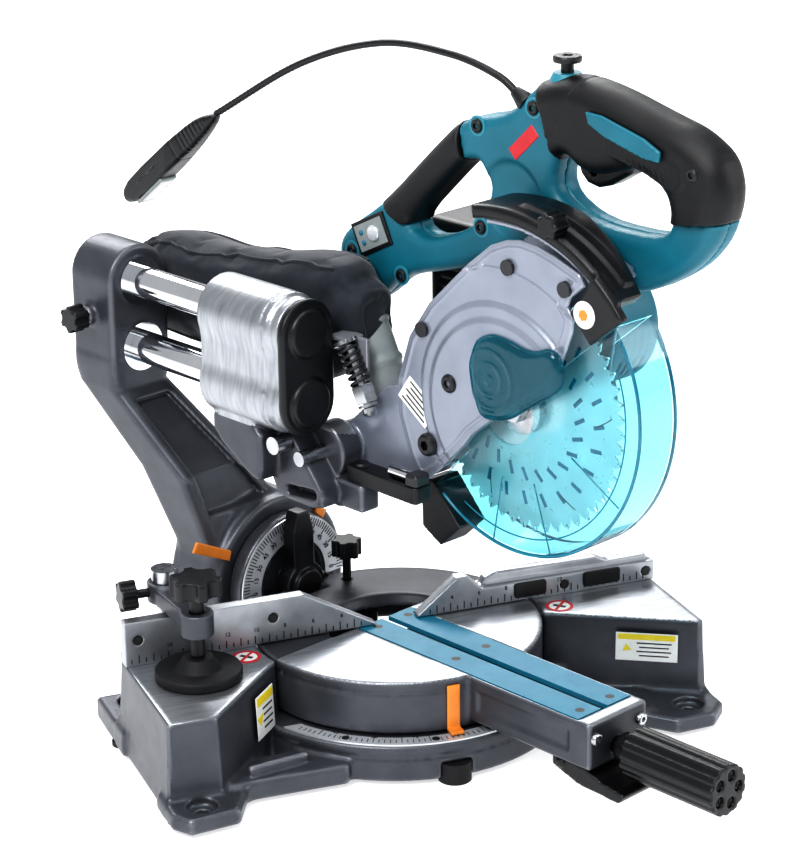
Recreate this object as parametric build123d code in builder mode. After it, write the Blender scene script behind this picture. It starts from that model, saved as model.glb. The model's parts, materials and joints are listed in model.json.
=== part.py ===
from build123d import *
import os
from math import atan2, cos, degrees, hypot, pi, radians, sin, tan

# Sliding miter saw, in millimetres. X runs along the fence, -Y is the operator's side, Z is up.
# The origin is on the underside of the feet, on the turntable's axis.
# The saw stands at a right mitre of MITRE degrees with the head up and the slide fully forward.
# Everything from the turntable up is drawn in the turned frame: x across the blade,
# y along the blade (minus y to the front), z up.

MITRE = 22.5  # turntable's angle at rest, degrees
TABLE = 66.0  # height of the table top
FOOT = 3.0  # height of the rubber feet
TABLE_R = 98.0  # turntable radius
RING_R = 113.0  # base ring radius
RING_TOP = 28.0  # top of the base ring
SKIRT = 30.0  # bottom of the turntable's skirt
FIT = 0.05  # radial clearance of a running fit
GAP = 0.3  # clearance between faces that pass each other
ARM_HALF = 27.0  # half width of the turntable's front arm
ARM_FRONT = -200.0  # front end of that arm
BOARD_HALF = 24.5  # outer edge of the kerf boards
KERF_HALF = 3.2  # half the slot between them
BOARD_T = 3.2  # kerf board thickness
GRIP_Z = 44.0  # height of the mitre grip's axis
PIVOT_R = 8.0  # turntable pivot bolt
BEVEL_Y = 118.0  # plane where the arm meets the turntable's rear flange
BEVEL_R = 10.0  # bevel pivot shaft
RAIL_X = -60.0  # rails, left of the blade
RAIL_R = 11.0
RAIL_TOP = 281.0
RAIL_LOW = 234.0
RAIL_MID = (RAIL_TOP + RAIL_LOW) / 2
SHELL_R = 24.0  # wall radius of the carriage round each rail
BLOCK_FRONT = 188.0  # rear bearing block, front and back faces
BLOCK_BACK = 232.0
CARRIAGE_FRONT = 30.0
CARRIAGE_BACK = 100.0
HINGE = (24.0, 194.0)  # head hinge, (y, z)
HINGE_R = 5.0
ARBOR = (-119.0, 251.0)  # blade axis, (y, z)
BLADE_R = 82.5
BLADE_T = 1.2
TEETH = 52
GUARD_R = 104.0  # guard rim, round a centre off the blade axis
GUARD_C = (-125.0, 262.0)
GUARD_TOP = 40.0  # angles of the guard's two ends, up from the front of the arbor
GUARD_END = -134.0
GUARD_LEFT = -17.0
GUARD_RIGHT = 16.0
WALL_LEFT = -22.0  # outer face of the case's side plate
WALL_RIGHT = 17.5  # inner face of the case's right wall
MODULE = 1.5
GEAR_TEETH = 38
PINION_TEETH = 12
GEAR_ANGLE = 60.0  # direction from the arbor up and back to the motor axis
GEAR_SPAN = MODULE * (GEAR_TEETH + PINION_TEETH) / 2
MOTOR = (
    ARBOR[0] + GEAR_SPAN * cos(radians(GEAR_ANGLE)),
    ARBOR[1] + GEAR_SPAN * sin(radians(GEAR_ANGLE)),
)
MOTOR_END = 102.2  # right face of the motor housing
HANDLE_MID = 32.0  # split plane of the handle shells
POST = (-155.0, 22.0)  # vise post
SPINDLE = (-150.0, -31.0)  # vise spindle

ACROSS = Vector(cos(radians(MITRE)), sin(radians(MITRE)), 0)
ALONG = Vector(-sin(radians(MITRE)), cos(radians(MITRE)), 0)
UP = Vector(0, 0, 1)


def level(z):
    """A level plane in the base's frame."""
    return Plane.XY.offset(z)


def deck(z):
    """A level plane in the turned frame."""
    return Plane(origin=UP * z, x_dir=ACROSS, z_dir=UP)


def side(x):
    """An upright plane square to the blade's axis: local x is y, local y is z, facing right."""
    return Plane(origin=ACROSS * x, x_dir=ALONG, z_dir=ACROSS)


def front(y):
    """An upright plane facing the operator: local x is x, local y is z."""
    return Plane(origin=ALONG * y, x_dir=ACROSS, z_dir=ALONG * -1)


def face(y):
    """An upright plane facing the operator in the base's frame."""
    return Plane(origin=(0, y, 0), x_dir=(1, 0, 0), z_dir=(0, -1, 0))


def turned(x, y, z):
    """A point of the turned frame."""
    return ACROSS * x + ALONG * y + UP * z


def polar(radius, angle):
    """A point on the saw's side view, at an angle up from the front of the arbor."""
    return (
        ARBOR[0] - radius * cos(radians(angle)),
        ARBOR[1] + radius * sin(radians(angle)),
    )


def rod(plane, at, radius, length, mode=Mode.ADD):
    """A round bar standing on a plane, in the part being built."""
    with BuildSketch(plane) as end:
        with Locations(at):
            Circle(radius)
    extrude(end.sketch, amount=length, mode=mode)


def tube(plane, at, outer, inner, length, mode=Mode.ADD):
    """A round tube standing on a plane."""
    with BuildSketch(plane) as end:
        with Locations(at):
            Circle(outer)
            Circle(inner, mode=Mode.SUBTRACT)
    extrude(end.sketch, amount=length, mode=mode)


def slab(plane, points, length, corner=0.0, mode=Mode.ADD, taper=0.0):
    """A closed outline on a plane, with rounded corners, made solid."""
    around = zip(points, points[1:] + points[:1])
    if sum(a[0] * b[1] - b[0] * a[1] for a, b in around) < 0:
        points = points[::-1]
    with BuildSketch(plane) as outline:
        Polygon(*points, align=None)
        if corner:
            fillet(outline.vertices(), corner)
    extrude(outline.sketch, amount=length, taper=taper, mode=mode)


def box(plane, low, high, length, mode=Mode.ADD):
    """A rectangle between two corners on a plane, made solid."""
    slab(plane, [low, (high[0], low[1]), high, (low[0], high[1])], length, 0.0, mode)


def capsule(plane, first, second, radius, length, mode=Mode.ADD):
    """Two equal discs and what lies between them, made solid."""
    middle = ((first[0] + second[0]) / 2, (first[1] + second[1]) / 2)
    dx, dy = second[0] - first[0], second[1] - first[1]
    with BuildSketch(plane) as outline:
        with Locations(middle):
            SlotCenterToCenter(hypot(dx, dy), 2 * radius, rotation=degrees(atan2(dy, dx)))
    extrude(outline.sketch, amount=length, mode=mode)


def lobed(plane, at, radius, lobes, length):
    """A knob's disc with finger hollows round its edge."""
    hollow = radius * 0.38
    with BuildSketch(plane) as outline:
        with Locations(at):
            Circle(radius)
            with PolarLocations(radius * 1.14, lobes):
                Circle(hollow, mode=Mode.SUBTRACT)
    extrude(outline.sketch, amount=length)


def sector(plane, inner, outer, low, high, length):
    """A band round the arbor between two angles up from the front."""
    steps = [low + (high - low) * i / 12 for i in range(13)]
    ring = [polar(outer, a) for a in steps] + [polar(inner, a) for a in reversed(steps)]
    slab(plane, ring, length)


def save(part, name):
    """Label a finished piece and write it."""
    part.label = name
    export_step(part, f"parts/{name}.step")


os.makedirs("parts", exist_ok=True)

# ---------------------------------------------------------------- base

LEFT_WING = [(-193, -96), (-157, -97), (-92, -27), (-76, 17), (-193, 17)]
RIGHT_WING = [(195, 17), (195, -78), (188, -82), (96, -27), (76, 17)]
LEFT_POCKET = [(-186, -90), (-160, -91), (-101, -28), (-110, 8), (-186, 8)]
RIGHT_POCKET = [(188, 8), (188, -72), (185, -74), (104, -30), (110, 8)]
LEFT_LUG = [(-196, -80), (-196, -112), (-187, -125), (-153, -121), (-138, -92), (-160, -80)]
RIGHT_LUG = [(197, -55), (197, -98), (184, -112), (156, -113), (138, -94), (140, -60)]
LEFT_HOLE = (-174, -107)
RIGHT_HOLE = (174, -92)
REAR_HOLES = [(-174, 46), (174, 46)]
FRONT_FOOT = (-3, -108)
CENTRE_PAD_R = 22.0  # rubber pad under the turntable's pivot
SCALE_SCREWS = [(106 * cos(radians(a)), 106 * sin(radians(a))) for a in (230, 262, 310)]

with BuildPart() as base_casting:
    rod(level(FOOT), (0, 0), RING_R, RING_TOP - FOOT)
    slab(level(FOOT), LEFT_WING, TABLE - FOOT, 5, taper=3)
    slab(level(FOOT), RIGHT_WING, TABLE - FOOT, 4, taper=3)
    slab(level(FOOT), LEFT_POCKET, TABLE - FOOT - 8, 4, mode=Mode.SUBTRACT)
    slab(level(FOOT), RIGHT_POCKET, TABLE - FOOT - 8, 2, mode=Mode.SUBTRACT)
    rod(level(FOOT), (0, 0), RING_R - 8, RING_TOP - FOOT - 8, mode=Mode.SUBTRACT)
    rod(level(FOOT), (0, 0), 24, RING_TOP - FOOT)
    for turn in (0, 60, 120):
        web = Plane.XY.offset(FOOT).rotated((0, 0, turn))
        box(web, (-RING_R + 4, -3), (RING_R - 4, 3), RING_TOP - FOOT)
    slab(level(FOOT), [(-170, -60), (-150, -94), (-72, -96), (-40, -60)], 15, 4)
    slab(level(FOOT), [(40, -70), (70, -92), (150, -92), (160, -50), (80, 0)], 13, 4)
    slab(level(FOOT), LEFT_LUG, 11, 6)
    slab(level(FOOT), RIGHT_LUG, 11, 6)
    box(level(FOOT), (-195, 0), (-160, 62), 17)
    box(level(FOOT), (160, 0), (195, 62), 17)
    rod(level(FOOT), POST, 12, TABLE - FOOT)
    rod(level(RING_TOP), (0, 0), TABLE_R + 2, TABLE, mode=Mode.SUBTRACT)
    for hole in (LEFT_HOLE, RIGHT_HOLE, *REAR_HOLES):
        rod(level(FOOT), hole, 4.5, 20, mode=Mode.SUBTRACT)
        rod(level(FOOT + 6), hole, 10, 20, mode=Mode.SUBTRACT)
    rod(level(0), (0, 0), PIVOT_R + FIT, TABLE, mode=Mode.SUBTRACT)
    rod(level(FOOT), (0, 0), 15, 7, mode=Mode.SUBTRACT)
    rod(level(TABLE - 26), POST, 6 + FIT, 40, mode=Mode.SUBTRACT)
    rod(level(FOOT), FRONT_FOOT, 11.2, 11.2, mode=Mode.SUBTRACT)
save(base_casting.part, "base_casting")

with BuildPart() as mitre_scale:
    with BuildSketch(level(RING_TOP)):
        Circle(111.5)
        Circle(101, mode=Mode.SUBTRACT)
        with Locations((0, 50)):
            Rectangle(400, 200, mode=Mode.SUBTRACT)
    extrude(amount=1.2)
    for spot in SCALE_SCREWS:
        rod(level(RING_TOP), spot, 2.6, 1.2, mode=Mode.SUBTRACT)
save(mitre_scale.part, "mitre_scale")

with BuildPart() as rubber_feet:
    rod(level(0), FRONT_FOOT, 11, FOOT + 11)
    rod(level(0), (0, 0), CENTRE_PAD_R, FOOT)
    for spot in ((-186, -96), (186, -74), (-188, 24), (188, 24)):
        rod(level(0), spot, 7.5, FOOT)
save(rubber_feet.part, "rubber_feet")

LEFT_FENCE = [
    (-190, 66), (-100.6, 66), (-100.6, 66.4), (-15, 66.4), (-15, 68), (-66, 97), (-190, 97),
]
RIGHT_FENCE = [
    (15, 66.4), (100.6, 66.4), (100.6, 66), (192, 66), (192, 80),
    (62, 81), (52, 91), (44, 91), (15, 68),
]
FENCE_BRACE = [(62, 79), (188, 78), (188, 84), (158, 84), (150, 88), (74, 89), (66, 86)]
FENCE_SCREWS_LEFT = [(-181, 84), (-88, 84)]
FENCE_SCREWS_RIGHT = [(124, 73), (186, 73)]
FENCE_T = 9.0

with BuildPart() as left_fence:
    slab(face(FENCE_T), LEFT_FENCE, FENCE_T)
    box(level(TABLE), (-190, FENCE_T), (-104, 13.5), 6)
    for spot in FENCE_SCREWS_LEFT:
        rod(face(4), spot, 3 + FIT, 6, mode=Mode.SUBTRACT)
save(left_fence.part, "left_fence")

with BuildPart() as right_fence:
    slab(face(FENCE_T), RIGHT_FENCE, FENCE_T)
    box(level(TABLE), (104, FENCE_T), (192, 13.5), 6)
    slab(face(12), FENCE_BRACE, 8)
    for spot in FENCE_SCREWS_RIGHT:
        rod(face(4), spot, 3 + FIT, 6, mode=Mode.SUBTRACT)
save(right_fence.part, "right_fence")

with BuildPart() as fence_inserts:
    for start, end in ((86, 110), (138, 166)):
        slab(face(0), [(start, 69), (end, 69), (end, 80), (start, 80)], 1.4, 2)
save(fence_inserts.part, "fence_inserts")

with BuildPart() as base_screws:
    for spot in FENCE_SCREWS_LEFT + FENCE_SCREWS_RIGHT:
        rod(face(4), spot, 3, 4.4)
    for spot in SCALE_SCREWS:
        rod(level(RING_TOP), spot, 2.5, 1.6)
save(base_screws.part, "base_screws")

with BuildPart() as mitre_pivot_bolt:
    rod(level(FOOT + 1), (0, 0), PIVOT_R, 38)
    rod(level(FOOT + 0.5), (0, 0), 13, 6)
    with BuildSketch(level(42)):
        RegularPolygon(12, 6)
    extrude(amount=7)
save(mitre_pivot_bolt.part, "mitre_pivot_bolt")

# ---------------------------------------------------------------- vise

VISE_LOW = 100.0
VISE_T = 14.0

with BuildPart() as vise_post:
    rod(level(TABLE - 26), POST, 6, 56 + 24)
    rod(level(VISE_LOW + VISE_T + 0.5), POST, 9, 8)
save(vise_post.part, "vise_post")

with BuildPart() as vise_arm:
    rod(level(VISE_LOW), POST, 12, VISE_T)
    rod(level(VISE_LOW - 4), SPINDLE, 11, VISE_T + 2)
    slab(level(VISE_LOW), [(-165, 20), (-145, 20), (-141, -30), (-159, -30)], VISE_T - 2)
    rod(level(VISE_LOW - 10), POST, 6 + FIT, 40, mode=Mode.SUBTRACT)
    rod(level(VISE_LOW - 10), SPINDLE, 5 + FIT, 40, mode=Mode.SUBTRACT)
    thread = Plane(origin=(-170, POST[1], 107), x_dir=(0, 1, 0), z_dir=(1, 0, 0))
    rod(thread, (0, 0), 3 + FIT, 12, mode=Mode.SUBTRACT)
save(vise_arm.part, "vise_arm")

with BuildPart() as vise_thumb_screw:
    across = Plane(origin=(-161.5, POST[1], 107), x_dir=(0, 1, 0), z_dir=(-1, 0, 0))
    rod(across, (0, 0), 3, 14)
    lobed(across.offset(14), (0, 0), 10.5, 6, 11)
save(vise_thumb_screw.part, "vise_thumb_screw")

with BuildPart() as vise_screw:
    rod(level(81), SPINDLE, 5, 45)
    lobed(level(124), SPINDLE, 17, 6, 12)
save(vise_screw.part, "vise_screw")

with BuildPart() as vise_pad:
    rod(level(TABLE + GAP), SPINDLE, 28.5, 6.5)
    with BuildSketch(level(TABLE + GAP + 6.5)):
        with Locations(SPINDLE):
            Circle(15)
    extrude(amount=8, taper=35)
save(vise_pad.part, "vise_pad")

# ---------------------------------------------------------------- turntable

KERF_BACK = 12.0
KERF_FRONT = -188.0
BOARD_SCREWS = [(-14, -180), (14, -180), (-14, -70), (14, -70), (-14, 4), (14, 4)]
REAR_KNOB = (28, 80)
ARM_LOW = 34.0
ARM = [
    (-ARM_HALF, -60), (ARM_HALF, -60), (ARM_HALF, ARM_FRONT), (-ARM_HALF, ARM_FRONT),
]
BOARD_RECESS = (
    (-BOARD_HALF - 0.2, KERF_FRONT - 0.2),
    (BOARD_HALF + 0.2, KERF_BACK + 0.2),
)

with BuildPart() as turntable_casting:
    rod(deck(SKIRT), (0, 0), TABLE_R, TABLE - SKIRT)
    rod(deck(SKIRT), (0, 0), TABLE_R - 7, TABLE - SKIRT - 8, mode=Mode.SUBTRACT)
    rod(deck(RING_TOP + GAP), (0, 0), 26, TABLE - SKIRT)
    slab(deck(ARM_LOW), ARM, TABLE - ARM_LOW, 2)
    box(deck(ARM_LOW), (-22, -186), (22, -88), 22, mode=Mode.SUBTRACT)
    box(deck(ARM_LOW), (-38, 60), (38, 108), 11)
    box(deck(ARM_LOW), (-38, 60), (-26, 108), 26)
    box(deck(ARM_LOW), (26, 60), (38, 108), 26)
    rod(front(BEVEL_Y), (0, TABLE), 48, 12)
    rod(front(BEVEL_Y - 12), (0, TABLE), 26, 22, mode=Mode.SUBTRACT)
    box(deck(0), (-60, 100), (60, 130), SKIRT, mode=Mode.SUBTRACT)
    box(deck(TABLE - BOARD_T), *BOARD_RECESS, 5, mode=Mode.SUBTRACT)
    box(deck(42), (-12.5, -180), (12.5, 16), 30, mode=Mode.SUBTRACT)
    with BuildSketch(deck(TABLE)):
        Circle(50)
        with Locations((0, -40 + 14)):
            Rectangle(120, 80, mode=Mode.SUBTRACT)
    extrude(amount=-8, taper=30, mode=Mode.SUBTRACT)
    rod(deck(20), (0, 0), PIVOT_R + FIT, 60, mode=Mode.SUBTRACT)
    rod(front(BEVEL_Y + 2), (0, TABLE), BEVEL_R + FIT, 30, mode=Mode.SUBTRACT)
    rod(front(-160), (0, GRIP_Z), 5 + FIT, 60, mode=Mode.SUBTRACT)
    rod(deck(40), REAR_KNOB, 3 + FIT, 40, mode=Mode.SUBTRACT)
save(turntable_casting.part, "turntable_casting")

with BuildPart() as kerf_boards:
    low = TABLE - BOARD_T
    box(deck(low), (-BOARD_HALF, KERF_FRONT), (-KERF_HALF, KERF_BACK), BOARD_T)
    box(deck(low), (KERF_HALF, KERF_FRONT), (BOARD_HALF, KERF_BACK), BOARD_T)
    for spot in BOARD_SCREWS:
        rod(deck(low), spot, 3 + FIT, 10, mode=Mode.SUBTRACT)
save(kerf_boards.part, "kerf_boards")

with BuildPart() as table_screws:
    for spot in BOARD_SCREWS:
        rod(deck(TABLE - BOARD_T), spot, 3, BOARD_T)
save(table_screws.part, "table_screws")

with BuildPart() as mitre_pointer:
    box(face(-TABLE_R - 0.1), (-4.5, 31), (4.5, 62), 2)
    box(face(-TABLE_R - 0.1), (-4.5, 30), (4.5, 32.5), 9)
save(mitre_pointer.part, "mitre_pointer")

with BuildPart() as bevel_scale:
    with BuildSketch(front(BEVEL_Y - 12)):
        with Locations((0, TABLE)):
            Circle(47)
            Circle(30, mode=Mode.SUBTRACT)
        with Locations((0, TABLE - 54)):
            Rectangle(120, 100, mode=Mode.SUBTRACT)
    extrude(amount=1.2)
save(bevel_scale.part, "bevel_scale")

with BuildPart() as bevel_pivot_shaft:
    rod(front(176), (0, TABLE), BEVEL_R, 84)
    rod(front(181), (0, TABLE), 16, 10)
save(bevel_pivot_shaft.part, "bevel_pivot_shaft")

with BuildPart() as bevel_lock_lever:
    hub = front(BEVEL_Y - 12 - 1.6)
    rod(hub, (0, TABLE), 17, 13)
    slab(hub.offset(1), [(-9, TABLE), (9, TABLE), (8, 108), (4, 121), (-6, 121), (-10, 108)], 12, 3)
    slab(hub.offset(1), [(4, 80), (24, 67), (22, 55), (0, 54)], 10, 3)
    rod(front(150), (0, TABLE), BEVEL_R + FIT, 80, mode=Mode.SUBTRACT)
    rod(front(91.5), (0, TABLE), 12, 4)
save(bevel_lock_lever.part, "bevel_lock_lever")

with BuildPart() as rear_knob:
    rod(deck(52), REAR_KNOB, 3, 34)
    lobed(deck(84), REAR_KNOB, 10.5, 6, 12)
save(rear_knob.part, "rear_knob")

with BuildPart() as mitre_grip:
    rod(front(-165), (0, GRIP_Z), 5, 55)
    rod(front(-204), (0, GRIP_Z), 10, 12)
    with BuildSketch(front(-215)):
        with Locations((0, GRIP_Z)):
            Circle(17)
            with PolarLocations(18.2, 14):
                Circle(2.4, mode=Mode.SUBTRACT)
    extrude(amount=75)
    for angle in range(0, 360, 72):
        spot = (9.5 * cos(radians(angle)), GRIP_Z + 9.5 * sin(radians(angle)))
        rod(front(-287), spot, 3.6, 10, mode=Mode.SUBTRACT)
save(mitre_grip.part, "mitre_grip")

DETENT = (-172.0, 29.5)  # pivot of the detent lever, (y, z)
DETENT_LEVER = [
    (-164, 33.4), (-164, 26), (-186, 19), (-220, 17.5), (-226, 24), (-204, 27), (-192, 32),
]

with BuildPart() as detent_lever:
    slab(side(-22), DETENT_LEVER, 34, 1.5)
    rod(side(-24), DETENT, 3, 38)
save(detent_lever.part, "detent_lever")

# ---------------------------------------------------------------- bevel arm

with BuildPart() as bevel_arm:
    rod(front(170), (0, TABLE), 58, 170 - BEVEL_Y - 0.4)
    for z, x_low, x_high, y_low, y_high in (
        (88, -54, 36, 124, 166),
        (150, -70, -10, 134, 186),
        (206, -84, -36, 188, 232),
    ):
        with BuildSketch(deck(z)):
            with Locations(((x_low + x_high) / 2, (y_low + y_high) / 2)):
                RectangleRounded(x_high - x_low, y_high - y_low, 9)
    loft()
    box(front(BLOCK_BACK), (RAIL_X - 24, 205), (RAIL_X + 24, RAIL_LOW), BLOCK_BACK - BLOCK_FRONT)
    capsule(front(BLOCK_BACK), (RAIL_X, RAIL_LOW), (RAIL_X, RAIL_TOP), 25, BLOCK_BACK - BLOCK_FRONT)
    for z in (RAIL_LOW, RAIL_TOP):
        rod(front(BLOCK_BACK + 5), (RAIL_X, z), 14, 60, mode=Mode.SUBTRACT)
    tube(front(180), (0, TABLE), 50, 20, 48, mode=Mode.SUBTRACT)
    rod(front(180), (0, TABLE), BEVEL_R + FIT, 80, mode=Mode.SUBTRACT)
    rod(side(RAIL_X - 30), (210, RAIL_MID), 3 + FIT, 14, mode=Mode.SUBTRACT)
save(bevel_arm.part, "bevel_arm")

with BuildPart() as bevel_pointers:
    slab(front(BEVEL_Y + 0.4), [(-80, 106), (-76, 113), (-46, 98), (-48, 91)], 2.4)
    slab(front(BEVEL_Y + 0.4), [(34, 108), (43, 104), (39, 98), (32, 104)], 2.4)
save(bevel_pointers.part, "bevel_pointers")

with BuildPart() as rail_bushes:
    for z in (RAIL_LOW, RAIL_TOP):
        tube(front(BLOCK_BACK), (RAIL_X, z), 14, RAIL_R + FIT, BLOCK_BACK - BLOCK_FRONT)
        tube(front(BLOCK_FRONT), (RAIL_X, z), 17, RAIL_R + FIT, 2)
save(rail_bushes.part, "rail_bushes")

with BuildPart() as slide_lock_knob:
    rod(side(RAIL_X - 17), (210, RAIL_MID), 3, -17)
    lobed(side(RAIL_X - 45), (210, RAIL_MID), 9.5, 6, 12)
save(slide_lock_knob.part, "slide_lock_knob")

# ---------------------------------------------------------------- slide

with BuildPart() as slide_rails:
    for z in (RAIL_LOW, RAIL_TOP):
        rod(front(BLOCK_BACK - 1), (RAIL_X, z), RAIL_R, BLOCK_BACK - 1 - CARRIAGE_FRONT)
save(slide_rails.part, "slide_rails")

LUG_LEFT = (-42.0, -24.0)  # hinge lugs, from and to along the pin
LUG_RIGHT = (14.0, 23.0)
STOP_PIN = (38.0, 202.5)
HINGE_ARM = [(50, 212), (58, 176), (50, 160), (8, 160), (6, 172), (14, 182), (40, 212)]
LUG_FOOT = [(8, 180), (8, 162), (50, 160), (52, 176), (42, 190)]

with BuildPart() as carriage:
    rails = ((RAIL_X, RAIL_LOW), (RAIL_X, RAIL_TOP))
    capsule(front(CARRIAGE_BACK), *rails, SHELL_R, CARRIAGE_BACK - CARRIAGE_FRONT)
    capsule(front(CARRIAGE_FRONT - 0.5), *rails, SHELL_R - 2, 7)
    box(front(CARRIAGE_FRONT), (RAIL_X - 20, RAIL_LOW), (RAIL_X + 20, RAIL_TOP), 0.5)
    slab(side(RAIL_X - 16), [(96, 214), (96, 194), (60, 176), (48, 174), (48, 214)], 34, 2)
    slab(side(-60), HINGE_ARM, 36, 2)
    box(side(-24), (32, 160), (52, 176), 47)
    box(deck(160), (-44, -14), (-28, 10), 19.6)
    for low, high in (LUG_LEFT, LUG_RIGHT):
        rod(side(low), HINGE, 19, high - low)
        slab(side(low), LUG_FOOT, high - low)
    for spot in rails:
        length = BLOCK_BACK - CARRIAGE_FRONT
        rod(front(BLOCK_BACK), spot, RAIL_R + FIT, length, mode=Mode.SUBTRACT)
    rod(side(-80), HINGE, HINGE_R + FIT, 120, mode=Mode.SUBTRACT)
    rod(side(-80), STOP_PIN, 3.5 + FIT, 60, mode=Mode.SUBTRACT)
save(carriage.part, "carriage")

with BuildPart() as end_cap:
    capsule(front(22), (RAIL_X, RAIL_LOW), (RAIL_X, RAIL_TOP), SHELL_R - 1, 6)
    for z in (RAIL_LOW, RAIL_TOP):
        rod(front(16), (RAIL_X, z), 16, 3)
save(end_cap.part, "end_cap")

with BuildPart() as hinge_pin:
    rod(side(-64), HINGE, HINGE_R, 91)
    rod(side(27), HINGE, 8, 4)
save(hinge_pin.part, "hinge_pin")

with BuildPart() as stopper_pin:
    rod(side(-64), STOP_PIN, 3.5, 39)
    rod(side(-74), STOP_PIN, 6, 12)
save(stopper_pin.part, "stopper_pin")

STOP_PIVOT = (-36.0, -6.0)  # the depth stop swings level about it

with BuildPart() as depth_stop_lever:
    slab(deck(180), [(-43, 2), (-29, 2), (-28, -64), (-44, -64)], 11, 3)
    rod(deck(191), STOP_PIVOT, 5, 2)
save(depth_stop_lever.part, "depth_stop_lever")

# ---------------------------------------------------------------- saw head: case

CASE_TOP = [(-191, 350), (-153, 363), (-128, 365), (-103, 354), (-41, 295), (-22, 239)]
PLATE = CASE_TOP + [
    (-42, 187), (-55, 190), (-86, 219), (-98, 234), (-165, 285), (-180, 323), (-171, 333),
]
WALL = CASE_TOP + [
    (-30, 200), (-55, 190), (-80, 205), (-119, 215), (-152, 228), (-168, 255), (-180, 323),
]
BLOCK = [
    (-30, 248), (-35, 228), (-43, 209), (-55, 195), (-42, 185),
    (24, 179), (38, 198), (24, 209), (-12, 242),
]
BLOCK_STEP = [(-30, 248), (-35, 228), (-43, 209), (-52, 196), (-8, 190), (-8, 236)]
CENTRE_COVER = [
    (-100, 262), (-104, 300), (-125, 308), (-165, 300),
    (-180, 282), (-178, 262), (-150, 247), (-112, 246),
]

with BuildPart() as blade_case:
    slab(side(WALL_RIGHT), WALL, 2.5, 3)
    sector(side(WALL_LEFT + 3), 118.5, 122, 52, 98, WALL_RIGHT - WALL_LEFT - 3)
    slab(side(WALL_LEFT + 3), BLOCK, 29)
    slab(side(7), BLOCK_STEP, 11)
    rod(side(-23.6), HINGE, 15, 37.2)
    rod(side(-40), HINGE, HINGE_R + FIT, 80, mode=Mode.SUBTRACT)
    rod(side(WALL_RIGHT - 2), ARBOR, 30.2, 8, mode=Mode.SUBTRACT)
save(blade_case.part, "blade_case")

PLATE_SCREWS = [(-125, 346), (-77, 261), (-58, 214), (-50, 290), (-172, 342)]

with BuildPart() as case_side_plate:
    slab(side(WALL_LEFT), PLATE, 3, 4)
    for spot in PLATE_SCREWS:
        rod(side(WALL_LEFT - 2), spot, 3 + FIT, 8, mode=Mode.SUBTRACT)
save(case_side_plate.part, "case_side_plate")

with BuildPart() as head_screws:
    for spot in PLATE_SCREWS:
        rod(side(WALL_LEFT), spot, 3, 3)
        rod(side(WALL_LEFT - 2.4), spot, 5, 2.4)
save(head_screws.part, "head_screws")

with BuildPart() as case_hood:
    sector(side(WALL_LEFT + 1), 122.4, 131, 40, 100, 38)
save(case_hood.part, "case_hood")

with BuildPart() as centre_cover:
    slab(side(-31), CENTRE_COVER, 8.8, 9)
save(centre_cover.part, "centre_cover")

# ---------------------------------------------------------------- saw head: drive

def around(at, radius, angle):
    """A point round another."""
    return (at[0] + radius * cos(angle), at[1] + radius * sin(angle))


def gear(plane, at, teeth, length, turn=0.0):
    """A spur gear with straight-sided teeth, thin enough to run with backlash."""
    pitch = MODULE * teeth / 2
    tip, root = pitch + 0.85 * MODULE, pitch - 1.25 * MODULE
    half = pi * MODULE * 0.19 / pitch
    with BuildSketch(plane) as outline:
        with Locations(at):
            Circle(root)
        for i in range(teeth):
            mid = radians(turn) + 2 * pi * i / teeth
            foot, crest = 1.9 * half, 0.55 * half
            flanks = [(root - 0.4, -foot), (tip, -crest), (tip, crest), (root - 0.4, foot)]
            Polygon(*[around(at, r, mid + a) for r, a in flanks], align=None)
    extrude(outline.sketch, amount=length)


with BuildPart() as arbor_shaft:
    rod(side(-7), ARBOR, 8, 51)
    gear(side(25), ARBOR, GEAR_TEETH, 8, GEAR_ANGLE)
save(arbor_shaft.part, "arbor_shaft")

with BuildPart() as blade_clamp:
    tube(side(-6.6), ARBOR, 18, 8 + FIT, 6)
    tube(side(0.6), ARBOR, 18, 8 + FIT, 6)
    with BuildSketch(side(-14)):
        with Locations(ARBOR):
            RegularPolygon(9, 6)
    extrude(amount=6.9)
save(blade_clamp.part, "blade_clamp")

# One tooth as (radius, angle past its place in radians): gullet, face, tip, back.
TOOTH = [
    (75, -0.045), (78, -0.035), (BLADE_R, 0.004), (BLADE_R - 0.4, 0.022), (79, 0.058), (75, 0.062),
]

with BuildPart() as saw_blade:
    with BuildSketch(side(-BLADE_T / 2)):
        with Locations(ARBOR):
            Circle(BLADE_R - 6)
        for i in range(TEETH):
            mid = 2 * pi * i / TEETH
            Polygon(*[around(ARBOR, r, mid + a) for r, a in TOOTH], align=None)
        with Locations(ARBOR):
            Circle(8 + FIT, mode=Mode.SUBTRACT)
    extrude(amount=BLADE_T)
save(saw_blade.part, "saw_blade")

with BuildPart() as motor_rotor:
    gear(side(24.8), MOTOR, PINION_TEETH, 8.4, GEAR_ANGLE + 180 / PINION_TEETH)
    rod(side(24.8), MOTOR, 5, MOTOR_END - 5.4 - 24.8)
    rod(side(54), MOTOR, 20, 32)
save(motor_rotor.part, "motor_rotor")

with BuildPart() as gear_housing:
    capsule(side(20.1), ARBOR, MOTOR, 35, 18)
    rod(side(12), ARBOR, 29.7, 9)
    rod(side(24), ARBOR, 31, 20, mode=Mode.SUBTRACT)
    rod(side(24), MOTOR, 13, 20, mode=Mode.SUBTRACT)
    rod(side(11), ARBOR, 16 + FIT, 8, mode=Mode.SUBTRACT)
    rod(side(11), ARBOR, 10, 20, mode=Mode.SUBTRACT)
save(gear_housing.part, "gear_housing")

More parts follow.
